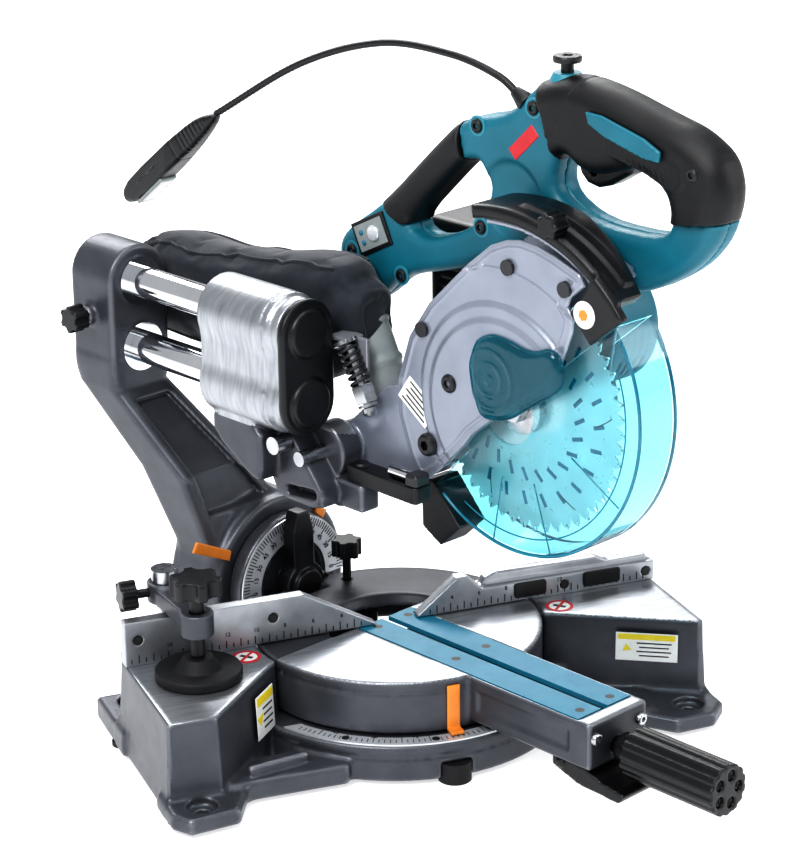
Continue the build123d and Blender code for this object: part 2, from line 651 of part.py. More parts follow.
with BuildPart() as motor_housing:
    rod(side(38.2), MOTOR, 42, MOTOR_END - 38.2)
    capsule(side(38.2), ARBOR, MOTOR, 35, 10)
    box(side(50), (-75, 255), (-50, 330), MOTOR_END - 50)
    rod(side(50), MOTOR, 35, MOTOR_END - 6.2 - 50, mode=Mode.SUBTRACT)
    rod(side(36), MOTOR, 6, 20, mode=Mode.SUBTRACT)
    rod(side(42), MOTOR, 11 + FIT, 9, mode=Mode.SUBTRACT)
    rod(side(36), ARBOR, 16 + FIT, 10, mode=Mode.SUBTRACT)
    rod(side(MOTOR_END - 7.2), MOTOR, 11 + FIT, 4.5, mode=Mode.SUBTRACT)
save(motor_housing.part, "motor_housing")

with BuildPart() as motor_stator:
    tube(side(53), MOTOR, 34.8, 21, 34)
save(motor_stator.part, "motor_stator")

with BuildPart() as bearings:
    tube(side(12.5), ARBOR, 16, 8 + FIT, 6.4)
    tube(side(38.6), ARBOR, 16, 8 + FIT, 6)
    tube(side(43), MOTOR, 11, 5 + FIT, 6)
    tube(side(MOTOR_END - 9.4), MOTOR, 11, 5 + FIT, 6)
save(bearings.part, "bearings")


def guard_fan(reach):
    """A fan of the given reach that covers the guard's sweep, as points."""
    steps = [GUARD_END + (GUARD_TOP - GUARD_END) * i / 12 for i in range(13)]
    return [ARBOR] + [polar(reach, a) for a in steps]


with BuildPart() as lower_guard:
    for x, hub in ((GUARD_LEFT, 22), (GUARD_RIGHT - 2, 30.2)):
        with BuildSketch(side(x)) as wall:
            with Locations(GUARD_C):
                Circle(GUARD_R)
            Polygon(*guard_fan(300), align=None, mode=Mode.INTERSECT)
            with Locations(ARBOR):
                Circle(46)
                Circle(hub, mode=Mode.SUBTRACT)
        extrude(amount=2)
    with BuildSketch(side(GUARD_LEFT)) as rim:
        with Locations(GUARD_C):
            Circle(GUARD_R)
            Circle(GUARD_R - 2.5, mode=Mode.SUBTRACT)
        Polygon(*guard_fan(300), align=None, mode=Mode.INTERSECT)
    extrude(amount=GUARD_RIGHT - GUARD_LEFT)
save(lower_guard.part, "lower_guard")

# ---------------------------------------------------------------- saw head: handles

BODY = [
    (-84, 427), (-105, 449), (-134, 457), (-166, 453), (-206, 443), (-229, 438), (-250, 426), (-257, 405),
    (-250, 377), (-232, 355), (-193, 332), (-150, 330), (-62, 330), (-44, 318), (15, 302), (41, 279),
    (54, 276), (78, 305), (72, 322), (33, 348), (-14, 393), (-41, 417),
]
D_HOLE = [
    (-119, 384), (-127, 414), (-151, 399), (-191, 412),
    (-213, 402), (-218, 387), (-210, 370), (-150, 369),
]
CARRY_HOLE = [(-58, 393), (-67, 374), (-54, 349), (-9, 330), (12, 338), (-29, 378), (-44, 391)]
TOP_GRIP = [
    (-104, 451), (-134, 459), (-166, 454), (-206, 444), (-229, 439), (-251, 427), (-259, 405), (-254, 388),
    (-222, 383), (-211, 400), (-191, 409.5), (-151, 396.5), (-128, 410), (-116, 430),
]
CARRY_GRIP = [(38, 350), (-12, 397), (-37, 421), (-45, 388), (-28, 375.5), (13, 335.5)]
TRIGGER = [(-134, 412), (-142, 394), (-158, 391), (-186, 408), (-170, 412)]
KNOB_Y = -122.0


def shell(x, thickness):
    """Half of the handle body, without the grips."""
    slab(side(x), BODY, thickness, 3)
    slab(side(x), D_HOLE, thickness, 3, mode=Mode.SUBTRACT)
    slab(side(x), CARRY_HOLE, thickness, 3, mode=Mode.SUBTRACT)
    slab(side(x), TOP_GRIP, thickness, mode=Mode.SUBTRACT)
    slab(side(x), CARRY_GRIP, thickness, mode=Mode.SUBTRACT)


with BuildPart() as handle_shell_left:
    shell(20.2, HANDLE_MID - 20.2)
save(handle_shell_left.part, "handle_shell_left")

with BuildPart() as handle_shell_right:
    shell(HANDLE_MID, 14)
save(handle_shell_right.part, "handle_shell_right")

with BuildPart() as handle_grip:
    slab(side(HANDLE_MID - 17), TOP_GRIP, 34)
    box(side(HANDLE_MID - 9), (-190, 380), (-130, 419), 18, mode=Mode.SUBTRACT)
    rod(deck(446), (HANDLE_MID, KNOB_Y), 4 + FIT, 20, mode=Mode.SUBTRACT)
save(handle_grip.part, "handle_grip")

with BuildPart() as carry_grip:
    slab(side(HANDLE_MID - 15), CARRY_GRIP, 30)
save(carry_grip.part, "carry_grip")

with BuildPart() as trigger:
    slab(side(HANDLE_MID - 8), TRIGGER, 16, 1)
save(trigger.part, "trigger")

with BuildPart() as lock_off_lever:
    beside = side(HANDLE_MID - 17 - 3.4)
    slab(beside, [(-158, 443), (-214, 428), (-213, 417), (-158, 431)], 3.2, 2)
    rod(beside, (-160, 437), 4, 3.2)
save(lock_off_lever.part, "lock_off_lever")

with BuildPart() as top_knob:
    rod(deck(450.5), (HANDLE_MID, KNOB_Y), 4, 12)
    rod(deck(462.5), (HANDLE_MID, KNOB_Y), 9, 5)
save(top_knob.part, "top_knob")

with BuildPart() as battery_pack:
    box(side(52), (-49.6, 246), (20, 336), 64)
save(battery_pack.part, "battery_pack")

# ---------------------------------------------------------------- saw head: lamp and dust

NECK = [(26, -89, 437), (25, -70, 448), (20, -33, 457), (16, 26, 456), (10, 96, 433), (4, 177, 387)]


def bend_radii(points):
    """The largest arc at each inner point that leaves a short straight either side."""
    radii = []
    for before, at, after in zip(points, points[1:], points[2:]):
        turn = radians((at - before).get_angle(after - at))
        radii.append(0.45 * min((at - before).length, (after - at).length) / tan(turn / 2))
    return radii


with BuildPart() as lamp_gooseneck:
    route = [turned(*point) for point in NECK]
    with BuildLine() as path:
        FilletPolyline(*route, radius=bend_radii(route))
    with BuildSketch(Plane(origin=route[0], z_dir=path.line % 0)):
        Circle(2.5)
    sweep(path=path.line)
save(lamp_gooseneck.part, "lamp_gooseneck")

LAMP = [(181, 390), (205, 375), (267, 326), (274, 315), (270, 309), (257, 314), (195, 363), (175, 382)]

with BuildPart() as lamp_head:
    slab(side(-7), LAMP, 20, 2)
save(lamp_head.part, "lamp_head")

with BuildPart() as dust_nozzle:
    pipe = Plane(origin=turned(-2, -34, 268), x_dir=ACROSS, z_dir=ALONG * 64 + UP * 14)
    tube(pipe, (0, 0), 16, 13, 66)
save(dust_nozzle.part, "dust_nozzle")

BAG = [
    (36, 258), (36, 300), (65, 314), (228, 297), (240, 285), (238, 226), (70, 222), (44, 240),
]

with BuildPart() as dust_bag:
    slab(side(-29), BAG, 47, 6)
save(dust_bag.part, "dust_bag")

with BuildPart() as dust_chute:
    slab(side(-12), [(-47, 185), (-36, 182), (-38, 150), (-54, 141), (-72, 158)], 24)
save(dust_chute.part, "dust_chute")
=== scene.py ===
from functools import reduce
import json
import math
from math import cos, hypot, pi, radians, sin

import bmesh
import bpy
import numpy as np
from mathutils import Matrix, Vector


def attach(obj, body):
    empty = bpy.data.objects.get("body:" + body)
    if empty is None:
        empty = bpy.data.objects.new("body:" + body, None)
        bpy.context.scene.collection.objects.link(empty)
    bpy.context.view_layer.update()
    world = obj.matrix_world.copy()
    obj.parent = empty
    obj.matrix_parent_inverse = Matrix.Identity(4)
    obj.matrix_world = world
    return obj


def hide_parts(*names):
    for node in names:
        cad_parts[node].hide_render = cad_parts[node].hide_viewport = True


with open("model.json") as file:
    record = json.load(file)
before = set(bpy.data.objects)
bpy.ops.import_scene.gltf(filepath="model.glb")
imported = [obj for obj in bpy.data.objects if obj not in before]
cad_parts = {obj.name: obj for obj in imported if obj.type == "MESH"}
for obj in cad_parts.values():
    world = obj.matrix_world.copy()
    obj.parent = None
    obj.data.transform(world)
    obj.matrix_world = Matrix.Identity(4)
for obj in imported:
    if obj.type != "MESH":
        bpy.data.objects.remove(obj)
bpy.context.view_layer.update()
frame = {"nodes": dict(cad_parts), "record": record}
NODES = frame["nodes"]

# Shapes are drawn in millimetres, in one of two frames: the base's own (X along the fence, -Y to the
# operator, Z up), and the turned frame of everything from the turntable up (x across the blade,
# y along it, z up). Side-view outlines are (y, z) points of the turned frame.
MM = 0.001
MITRE = radians(22.5)
BASE = Matrix.Scale(MM, 4)
TURNED = Matrix.Rotation(MITRE, 4, "Z") @ BASE

TABLE = 66.0
ARBOR = (-119.0, 251.0)
HINGE = (24.0, 194.0)
RAIL_X, RAIL_LOW, RAIL_TOP = -60.0, 234.0, 281.0
RAIL_MID = (RAIL_LOW + RAIL_TOP) / 2
SPLIT = 32.0
TIP_RADIUS = 80.9
TEETH = 52

# Where most pieces ride, and the axes. OUT points away from the saw's left side.
ON_HEAD, ON_TABLE, ON_BASE = (TURNED, "head"), (TURNED, "turntable"), (BASE, "base")
X, Y, Z, OUT = Vector((1, 0, 0)), Vector((0, 1, 0)), Vector((0, 0, 1)), Vector((-1, 0, 0))

# ---- materials


def look(name, dark, light, rough, grain=60, metal=0.0, bump=0.1, pores=1500, stretch=(1, 1, 1), edge_highlight=None,
        coat=0.0, clear=0.0, sheen=0.0):
    """A material: mottled colour, uneven gloss, a fine texture, and a painted edge highlight if one is given.
    """
    mat = bpy.data.materials.new(name)
    mat.use_nodes = True
    tree = mat.node_tree
    nodes, link = tree.nodes, tree.links.new
    shader = nodes["Principled BSDF"]
    coords = nodes.new("ShaderNodeTexCoord")
    mapping = nodes.new("ShaderNodeMapping")
    mapping.inputs["Scale"].default_value = stretch
    link(coords.outputs["Object"], mapping.inputs["Vector"])

    def noise(scale, detail):
        n = nodes.new("ShaderNodeTexNoise")
        n.inputs["Scale"].default_value = scale
        n.inputs["Detail"].default_value = detail
        link(mapping.outputs["Vector"], n.inputs["Vector"])
        return n

    mottle = noise(grain, 5)
    ramp = nodes.new("ShaderNodeValToRGB")
    ramp.color_ramp.elements[0].position = 0.3
    ramp.color_ramp.elements[0].color = (*dark, 1)
    ramp.color_ramp.elements[1].position = 0.7
    ramp.color_ramp.elements[1].color = (*light, 1)
    link(mottle.outputs["Fac"], ramp.inputs["Fac"])
    colour = ramp.outputs["Color"]
    # Convex edges, picked out by pointiness, are painted lighter: a painted highlight.
    if edge_highlight:
        geometry = nodes.new("ShaderNodeNewGeometry")
        edge = nodes.new("ShaderNodeValToRGB")
        edge.color_ramp.elements[0].position = 0.52
        edge.color_ramp.elements[0].color = (0, 0, 0, 1)
        edge.color_ramp.elements[1].position = 0.6
        edge.color_ramp.elements[1].color = (1, 1, 1, 1)
        mix = nodes.new("ShaderNodeMix")
        mix.data_type = "RGBA"
        mix.inputs["B"].default_value = (*edge_highlight, 1)
        link(geometry.outputs["Pointiness"], edge.inputs["Fac"])
        link(edge.outputs["Color"], mix.inputs["Factor"])
        link(colour, mix.inputs["A"])
        colour = mix.outputs["Result"]
    link(colour, shader.inputs["Base Color"])
    gloss = nodes.new("ShaderNodeMapRange")
    gloss.inputs["To Min"].default_value = rough[0]
    gloss.inputs["To Max"].default_value = rough[1]
    link(noise(grain * 2.3, 4).outputs["Fac"], gloss.inputs["Value"])
    link(gloss.outputs["Result"], shader.inputs["Roughness"])
    relief = nodes.new("ShaderNodeBump")
    relief.inputs["Strength"].default_value = bump
    relief.inputs["Distance"].default_value = 0.0004
    link(noise(pores, 3).outputs["Fac"], relief.inputs["Height"])
    link(relief.outputs["Normal"], shader.inputs["Normal"])
    shader.inputs["Metallic"].default_value = metal
    shader.inputs["Coat Weight"].default_value = coat
    shader.inputs["Coat Roughness"].default_value = 0.08
    shader.inputs["Sheen Weight"].default_value = sheen
    if clear:
        shader.inputs["Transmission Weight"].default_value = clear
        shader.inputs["IOR"].default_value = 1.03
    return mat


# The last colour given to several looks is the painted highlight along their convex edges.
LOOKS = {
    "cast_grey": look("cast_paint", (0.068, 0.072, 0.085), (0.092, 0.097, 0.113), (0.28, 0.42), 45, 0.45,
        0.25, 1600, edge_highlight=(0.3, 0.31, 0.34)),
    # A darker copy of the cast paint: painted shade for the turntable's rear, its well, the blade slot and
    # the arm's underside.
    "painted_shade_cast": look("painted_shade_cast", (0.035, 0.038, 0.045), (0.052, 0.056, 0.066), (0.34, 0.46), 50, 0.35,
        0.22, 1500, edge_highlight=(0.2, 0.21, 0.23)),
    "case_grey": look("case_enamel", (0.25, 0.275, 0.335), (0.295, 0.32, 0.385), (0.26, 0.36), 40, 0.35,
        0.12, 1800, edge_highlight=(0.55, 0.57, 0.62), coat=0.25),
    "machined": look("machined_aluminium", (0.32, 0.335, 0.36), (0.48, 0.495, 0.52), (0.28, 0.4), 50, 0.85,
        0.07, 700, stretch=(1, 9, 1)),
    "satin_steel": look("satin_steel", (0.42, 0.43, 0.45), (0.56, 0.57, 0.59), (0.22, 0.34), 90, 1.0, 0.1,
        1400),
    "chrome_rail": look("hard_chrome", (0.72, 0.73, 0.75), (0.82, 0.83, 0.85), (0.05, 0.1), 40, 1.0, 0.02,
        2500),
    "blade_steel": look("blade_steel", (0.72, 0.74, 0.76), (0.84, 0.86, 0.88), (0.24, 0.34), 60, 0.45, 0.08,
        900),
    "copper": look("copper_winding", (0.45, 0.2, 0.1), (0.62, 0.3, 0.16), (0.3, 0.4), 200, 1.0, 0.3, 900,
        stretch=(1, 8, 8)),
    "teal_plastic": look("teal_nylon", (0.006, 0.135, 0.19), (0.01, 0.165, 0.23), (0.34, 0.44), 40, 0.0,
        0.3, 2200, edge_highlight=(0.06, 0.3, 0.38)),
    "black_plastic": look("black_nylon", (0.003, 0.0032, 0.004), (0.007, 0.0074, 0.0085), (0.28, 0.4), 50,
        0.0, 0.3, 2000, edge_highlight=(0.03, 0.031, 0.035)),
    "grip_rubber": look("grip_rubber", (0.003, 0.0032, 0.004), (0.007, 0.0074, 0.0085), (0.32, 0.45), 60,
        0.0, 0.5, 2600, edge_highlight=(0.022, 0.023, 0.027)),
    "foot_rubber": look("foot_rubber", (0.005, 0.005, 0.006), (0.01, 0.01, 0.011), (0.55, 0.7), 80, 0.0,
        0.4, 1800),
    "grey_plastic": look("grey_nylon", (0.24, 0.27, 0.275), (0.3, 0.33, 0.335), (0.34, 0.44), 50, 0.0, 0.25,
        2000),
    "board_blue": look("board_plastic", (0.014, 0.17, 0.27), (0.022, 0.21, 0.32), (0.36, 0.48), 70, 0.0,
        0.3, 1500),
    "pointer_orange": look("orange_plastic", (0.75, 0.24, 0.03), (0.85, 0.3, 0.05), (0.3, 0.4), 80, 0.0,
        0.15, 1500),
    "scale_white": look("scale_plate", (0.62, 0.64, 0.67), (0.74, 0.76, 0.79), (0.25, 0.35), 70, 0.55, 0.08,
        1200),
    "guard_clear": look("clear_teal", (0.46, 0.8, 0.85), (0.5, 0.83, 0.88), (0.0, 0.02), 30, 0.0, 0.02, 400,
        clear=1.0, coat=0.7),
    "guard_dark": look("clear_teal_dark", (0.01, 0.2, 0.27), (0.02, 0.25, 0.33), (0.02, 0.06), 30, 0.0,
        0.02, 400, clear=0.75, coat=0.8),
    # An opaque darker copy of the clear teal: painted shade along the guard's edges, bead and ribs.
    "guard_edge": look("clear_teal_shaded_edge", (0.0, 0.16, 0.24), (0.003, 0.2, 0.29), (0.06, 0.12), 30, 0.0,
        0.04, 400, coat=0.5),
    "bag_fabric": look("bag_polyester", (0.005, 0.009, 0.016), (0.011, 0.017, 0.027), (0.62, 0.8), 90, 0.0,
        0.6, 1900, sheen=0.25),
    "white_print": look("white_print", (0.78, 0.78, 0.76), (0.86, 0.86, 0.84), (0.35, 0.45), 120, 0.0, 0.1,
        1500),
    "yellow_print": look("yellow_print", (0.75, 0.6, 0.02), (0.85, 0.68, 0.04), (0.35, 0.45), 120, 0.0, 0.1,
        1500),
    "black_print": look("black_print", (0.012, 0.012, 0.013), (0.022, 0.022, 0.023), (0.4, 0.5), 120, 0.0,
        0.1, 1500),
    "red_print": look("red_print", (0.5, 0.02, 0.03), (0.62, 0.03, 0.04), (0.35, 0.45), 120, 0.0, 0.1,
        1500),
}
for sub in frame["record"]["subparts"]:
    target = NODES[sub["node"]]
    target.data.materials.clear()
    target.data.materials.append(LOOKS[sub["material_slot"]])

# ---- pieces


def piece(name, points, faces, place, body, slot, stands_for=(), finish=None, sharp=35, extra=(), paint=None):
    """A mesh drawn in millimetres becomes a piece. paint picks a face's finish from its centre and normal."""
    mesh = bpy.data.meshes.new(name)
    points = np.asarray(points, float)
    mesh.from_pydata(points.tolist(), [], [list(f) for f in faces])
    if paint:
        chosen = [paint(f.center, f.normal) for f in mesh.polygons]
        mesh.polygons.foreach_set("material_index", chosen)
    mesh.transform(place)
    mesh.polygons.foreach_set("use_smooth", [True] * len(mesh.polygons))
    if sharp:
        mesh.set_sharp_from_angle(angle=radians(sharp))
    for finish_name in (finish or slot, *extra):
        mesh.materials.append(LOOKS[finish_name])
    made = bpy.data.objects.new(name, mesh)
    bpy.context.scene.collection.objects.link(made)
    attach(made, body)
    if stands_for:
        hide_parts(*stands_for)
    return made


def contour(field, low, high, step):
    """The surface where a field is zero: a point in each crossed cell, a quad on each crossed edge."""
    size = [int(math.ceil((b - a) / step)) + 5 for a, b in zip(low, high)]
    axes = [a - 2 * step + step * np.arange(n) for a, n in zip(low, size)]
    f = field(*np.meshgrid(*axes, indexing="ij"))
    inside = f < 0
    cells = tuple(n - 1 for n in size)
    total = np.zeros((*cells, 3))
    count = np.zeros(cells)
    for axis in range(3):
        others = [a for a in range(3) if a != axis]
        for first in (0, 1):
            for second in (0, 1):
                start = [0, 0, 0]
                start[others[0]], start[others[1]] = first, second
                end = list(start)
                end[axis] = 1
                near = tuple(slice(s, s + n) for s, n in zip(start, cells))
                far = tuple(slice(s, s + n) for s, n in zip(end, cells))
                crossed = inside[near] != inside[far]
                gap = np.where(crossed, f[near] - f[far], 1.0)
                along = np.where(crossed, f[near] / gap, 0.0)
                for a in range(3):
                    total[..., a] += crossed * (along if a == axis else start[a])
                count += crossed
    used = count > 0
    index = np.full(cells, -1)
    index[used] = np.arange(used.sum())
    where = np.argwhere(used)
    origin = np.array([a[0] for a in axes])
    points = origin + step * (where + total[used] / count[used][:, None])
    quads = []
    for axis in range(3):
        u, v = (axis + 1) % 3, (axis + 2) % 3
        inner = [slice(1, n - 1) for n in size]
        ahead = list(inner)
        inner[axis] = slice(0, size[axis] - 1)
        ahead[axis] = slice(1, size[axis])
        here, there = inside[tuple(inner)], inside[tuple(ahead)]
        for flip, hits in ((False, here & ~there), (True, ~here & there)):
            at = np.argwhere(hits)
            at[:, u] += 1
            at[:, v] += 1
            corners = []
            for du, dv in ((-1, -1), (0, -1), (0, 0), (-1, 0)):
                c = at.copy()
                c[:, u] += du
                c[:, v] += dv
                corners.append(index[c[:, 0], c[:, 1], c[:, 2]])
            if flip:
                corners.reverse()
            quads.append(np.stack(corners, 1))
    return points, np.concatenate(quads)


def sculpt(name, field, low, high, step, place, body, slot, stands_for=(), **more):
    """A piece whose surface is a field's contour."""
    points, quads = contour(field, low, high, step)
    return piece(name, points, quads, place, body, slot, stands_for, sharp=0, **more)


def rounded(points, rounds=2):
    """An outline with its corners cut again and again, which makes them curves."""
    for _ in range(rounds):
        cut = []
        for (ax, ay), (bx, by) in zip(points, points[1:] + points[:1]):
            cut += [(0.78 * ax + 0.22 * bx, 0.78 * ay + 0.22 * by),
                (0.22 * ax + 0.78 * bx, 0.22 * ay + 0.78 * by)]
        points = cut
    return points


def outline(points, u, v):
    """Signed distance in a plane to a closed outline, negative inside."""
    best = np.full(u.shape, 1e9)
    inside = np.zeros(u.shape, bool)
    for (ax, ay), (bx, by) in zip(points, points[1:] + points[:1]):
        dx, dy = bx - ax, by - ay
        t = np.clip(((u - ax) * dx + (v - ay) * dy) / (dx * dx + dy * dy + 1e-9), 0, 1)
        best = np.minimum(best, (u - ax - t * dx) ** 2 + (v - ay - t * dy) ** 2)
        spans = (ay > v) != (by > v)
        inside ^= spans & (u < ax + (v - ay) * dx / (dy if dy else 1e-9))
    return np.where(inside, -1, 1) * np.sqrt(best)


def soft_both(a, b, edge):
    """Inside two distances at once, with the corner between them rounded."""
    a, b = a + edge, b + edge
    return np.minimum(np.maximum(a, b), 0) + np.hypot(np.maximum(a, 0), np.maximum(b, 0)) - edge


def thick(flat, w, low, high, edge=1.0):
    """A flat shape's distance made solid between two levels of w, with rounded edges."""
    return soft_both(flat, np.abs(w - (low + high) / 2) - (high - low) / 2, edge)


def bar(u, v, w, at, radius, low, high, edge=1.0):
    """A round bar along w."""
    return thick(np.hypot(u - at[0], v - at[1]) - radius, w, low, high, edge)


def pill(u, v, first, second, radius):
    """Distance to a line between two points, less a radius."""
    dx, dy = second[0] - first[0], second[1] - first[1]
    t = np.clip(((u - first[0]) * dx + (v - first[1]) * dy) / (dx * dx + dy * dy), 0, 1)
    return np.hypot(u - first[0] - t * dx, v - first[1] - t * dy) - radius


def join(a, b, blend=0.0):
    if not blend:
        return np.minimum(a, b)
    h = np.clip(0.5 + 0.5 * (b - a) / blend, 0, 1)
    return b * (1 - h) + a * h - blend * h * (1 - h)


def cut(a, b, blend=0.0):
    return -join(-a, b, blend)


def both(*parts):
    return reduce(np.maximum, parts)


def tube_faces(rings, steps):
    """Faces that join rings of points into a tube with closed ends."""
    faces = []
    for k in range(rings - 1):
        for i in range(steps):
            j = (i + 1) % steps
            faces.append((k * steps + i, k * steps + j, (k + 1) * steps + j, (k + 1) * steps + i))
    return [*faces, tuple(reversed(range(steps))), tuple(range((rings - 1) * steps, rings * steps))]


def lathe(profile, centre, axis, steps=64):
    """Points and faces of a turned shape. profile is (radius, height along axis) pairs from end to end."""
    axis = Vector(axis).normalized()
    side = axis.orthogonal().normalized()
    third = axis.cross(side)
    points = []
    for r, h in profile:
        for i in range(steps):
            a = 2 * pi * i / steps
            points.append(Vector(centre) + axis * h + (side * cos(a) + third * sin(a)) * max(r, 1e-3))
    return points, tube_faces(len(profile), steps)


def turned_piece(name, profile, centre, axis, place, body, slot, stands_for=(), steps=64, **more):
    points, faces = lathe(profile, centre, axis, steps)
    return piece(name, points, faces, place, body, slot, stands_for, sharp=30, **more)


def flat_box(centre, u, v, w, size):
    """Points and faces of a brick with chamfered edges, its sides along u, v and w."""
    u, v, w = (Vector(a).normalized() for a in (u, v, w))
    bevel = min(size) * 0.2
    made = bmesh.new()
    bmesh.ops.create_cube(made, size=1)
    for vert in made.verts:
        vert.co = Vector([c * s for c, s in zip(vert.co, size)])
    bmesh.ops.bevel(made, geom=made.edges[:], offset=bevel, segments=1, affect="EDGES")
    made.verts.index_update()
    points = [Vector(centre) + u * p.co.x + v * p.co.y + w * p.co.z for p in made.verts]
    faces = [[p.index for p in f.verts] for f in made.faces]
    made.free()
    return points, faces


def brick(name, centre, u, v, w, size, place, body, slot, **more):
    return piece(name, *flat_box(centre, u, v, w, size), place, body, slot, **more)


def gather(parts):
    """Several meshes as one."""
    points, faces = [], []
    for p, f in parts:
        start = len(points)
        points += [tuple(q) for q in p]
        faces += [[i + start for i in face] for face in f]
    return points, faces


def pipe(route, radius, steps=16):
    """A round tube along points, with closed ends."""
    route = [Vector(p) for p in route]
    points = []
    up = (route[1] - route[0]).orthogonal().normalized()
    for k, at in enumerate(route):
        ahead = (route[min(k + 1, len(route) - 1)] - route[max(k - 1, 0)]).normalized()
        up = (up - ahead * up.dot(ahead)).normalized()
        across = ahead.cross(up)
        r = radius[k] if isinstance(radius, (list, tuple)) else radius
        for i in range(steps):
            a = 2 * pi * i / steps
            points.append(at + (up * cos(a) + across * sin(a)) * r)
    return points, tube_faces(len(route), steps)


def weave(points, count):
    """A smooth line of count points through the given ones."""
    points = [Vector(p) for p in points]
    padded = [2 * points[0] - points[1], *points, 2 * points[-1] - points[-2]]
    line = []
    spans = len(points) - 1
    for n in range(count):
        t = n * spans / (count - 1)
        k = min(int(t), spans - 1)
        t -= k
        a, b, c, d = padded[k:k + 4]
        line.append(0.5 * (2 * b + (c - a) * t + (2 * a - 5 * b + 4 * c - d) * t * t
            + (3 * b - a - 3 * c + d) * t ** 3))
    return line


# ---- handles

BODY = rounded([(-84, 427), (-105, 449), (-134, 457), (-166, 453), (-206, 443), (-229, 438), (-250, 426),
    (-257, 405), (-250, 377), (-232, 355), (-193, 332), (-150, 330), (-62, 330), (-44, 318), (15, 302),
    (41, 279), (54, 276), (78, 305), (72, 322), (33, 348), (-14, 393), (-41, 417)])
D_HOLE = rounded([(-119, 384), (-127, 414), (-151, 399), (-191, 412), (-213, 402), (-218, 387), (-210, 370),
    (-150, 369)])
CARRY_HOLE = rounded([(-58, 393), (-67, 374), (-54, 349), (-9, 330), (12, 338), (-29, 378), (-44, 391)])
TOP_REGION = [(-98, 470), (-104, 451), (-116, 430), (-121, 412), (-135, 385), (-222, 383), (-280, 392),
    (-280, 470)]
CARRY_REGION = [(62, 361), (38, 350), (12, 338), (-8, 342), (-20, 350), (-48, 375), (-44, 391), (-37, 421),
    (-30, 450), (40, 420)]
TRIGGER = rounded([(-134, 414), (-142, 394), (-158, 391), (-186, 408), (-170, 414)], 1)
LOCK = rounded([(-154, 444), (-214, 429), (-213, 417), (-158, 431)], 1)
BODY_LOW, BODY_HIGH = (20.2, -260, 274), (46, 82, 460)
SEAM = 0.15


def body_field(x, y, z):
    """The moulded body without its grips, both shells together."""
    solid = thick(outline(BODY, y, z), x, 20.2, 46, 8)
    solid = cut(solid, join(outline(D_HOLE, y, z), outline(CARRY_HOLE, y, z)), 7)
    waist = bar(y, z, x, (-86, 372), 26, 14, 23.2, 5)
    solid = cut(solid, waist, 3)
    regions = join(outline(TOP_REGION, y, z), outline(CARRY_REGION, y, z))
    return cut(solid, regions - SEAM)


sculpt("body_shell_left", lambda x, y, z: both(body_field(x, y, z), x - SPLIT + SEAM), BODY_LOW, BODY_HIGH,
    1.6, *ON_HEAD, "teal_plastic", ["handle_shell_left"])
sculpt("body_shell_right", lambda x, y, z: both(body_field(x, y, z), SPLIT + SEAM - x), BODY_LOW, BODY_HIGH,
    1.6, *ON_HEAD, "teal_plastic", ["handle_shell_right"])


def top_grip_field(x, y, z):
    """The black overmould of the main handle: fat, round in section, with a ridge round a textured patch."""
    loop = thick(outline(BODY, y, z) - 1.5, x, 15, 49, 15)
    loop = cut(loop, outline(D_HOLE, y, z) + 1, 12)
    loop = both(loop, outline(TOP_REGION, y, z) + SEAM)
    pocket = thick(outline(rounded([(-192, 380), (-128, 380), (-128, 421), (-192, 421)], 1), y, z), x, 23,
        41, 1)
    loop = cut(loop, pocket, 1)
    patch = pill(y, z, (-176, 424), (-222, 411), 7)
    loop = loop - 0.9 * np.clip(1.2 - np.abs(patch) / 1.1, 0, 1)
    ribs = np.clip(-patch / 2, 0, 1) * (0.5 + 0.5 * np.sin((y * 0.94 - z * 0.3) * 1.6))
    loop = loop - 0.5 * ribs
    knuckle = np.abs((y + 134) * 0.86 + (z - 440) * 0.5)
    return loop + 0.7 * np.clip(1 - knuckle / 1.6, 0, 1)


sculpt("main_grip", top_grip_field, (14, -262, 380), (50, -96, 462), 1.2, *ON_HEAD, "grip_rubber",
    ["handle_grip"])


def carry_grip_field(x, y, z):
    loop = thick(outline(BODY, y, z) - 1, x, 17, 47, 13)
    loop = cut(loop, outline(CARRY_HOLE, y, z) + 1.5, 10)
    return both(loop, outline(CARRY_REGION, y, z) + SEAM)


sculpt("carrying_grip", carry_grip_field, (16, -48, 330), (48, 62, 424), 1.3, *ON_HEAD, "grip_rubber",
    ["carry_grip"])


def trigger_field(x, y, z):
    solid = thick(outline(TRIGGER, y, z), x, 24, 40, 3.5)
    return cut(solid, np.hypot(y + 151, z - 402) - 3.2, 0.8)


sculpt("trigger_moulding", trigger_field, (23, -188, 389), (41, -132, 415), 0.8, TURNED, "trigger",
    "black_plastic", ["trigger"])


def lock_field(x, y, z):
    ribs = 0.35 * np.clip(np.sin((y + z) * 1.1) - 0.3, 0, 1) * (z < 428)
    return thick(outline(LOCK, y, z), x, 11.6, 14.8, 1.3) + ribs


sculpt("lock_off_button", lock_field, (11, -216, 415), (15.5, -152, 446), 0.7, TURNED, "lock_off_lever",
    "teal_plastic", ["lock_off_lever"])
KNOB = (SPLIT, -122.0)
turned_piece("top_knob_moulding", [(4, 0), (4, 12), (6, 12.5), (8.6, 13), (9, 14), (9, 15.8), (8.2, 17),
    (3.4, 17), (3, 16), (1, 16)], (*KNOB, 450.5), Z, TURNED, "top_knob", "black_plastic", ["top_knob"])
turned_piece("top_knob_collar", [(4.4, 0), (10.5, 0), (10.5, 4), (8.5, 8), (4.4, 8)], (*KNOB, 449), Z,
    *ON_HEAD, "teal_plastic")


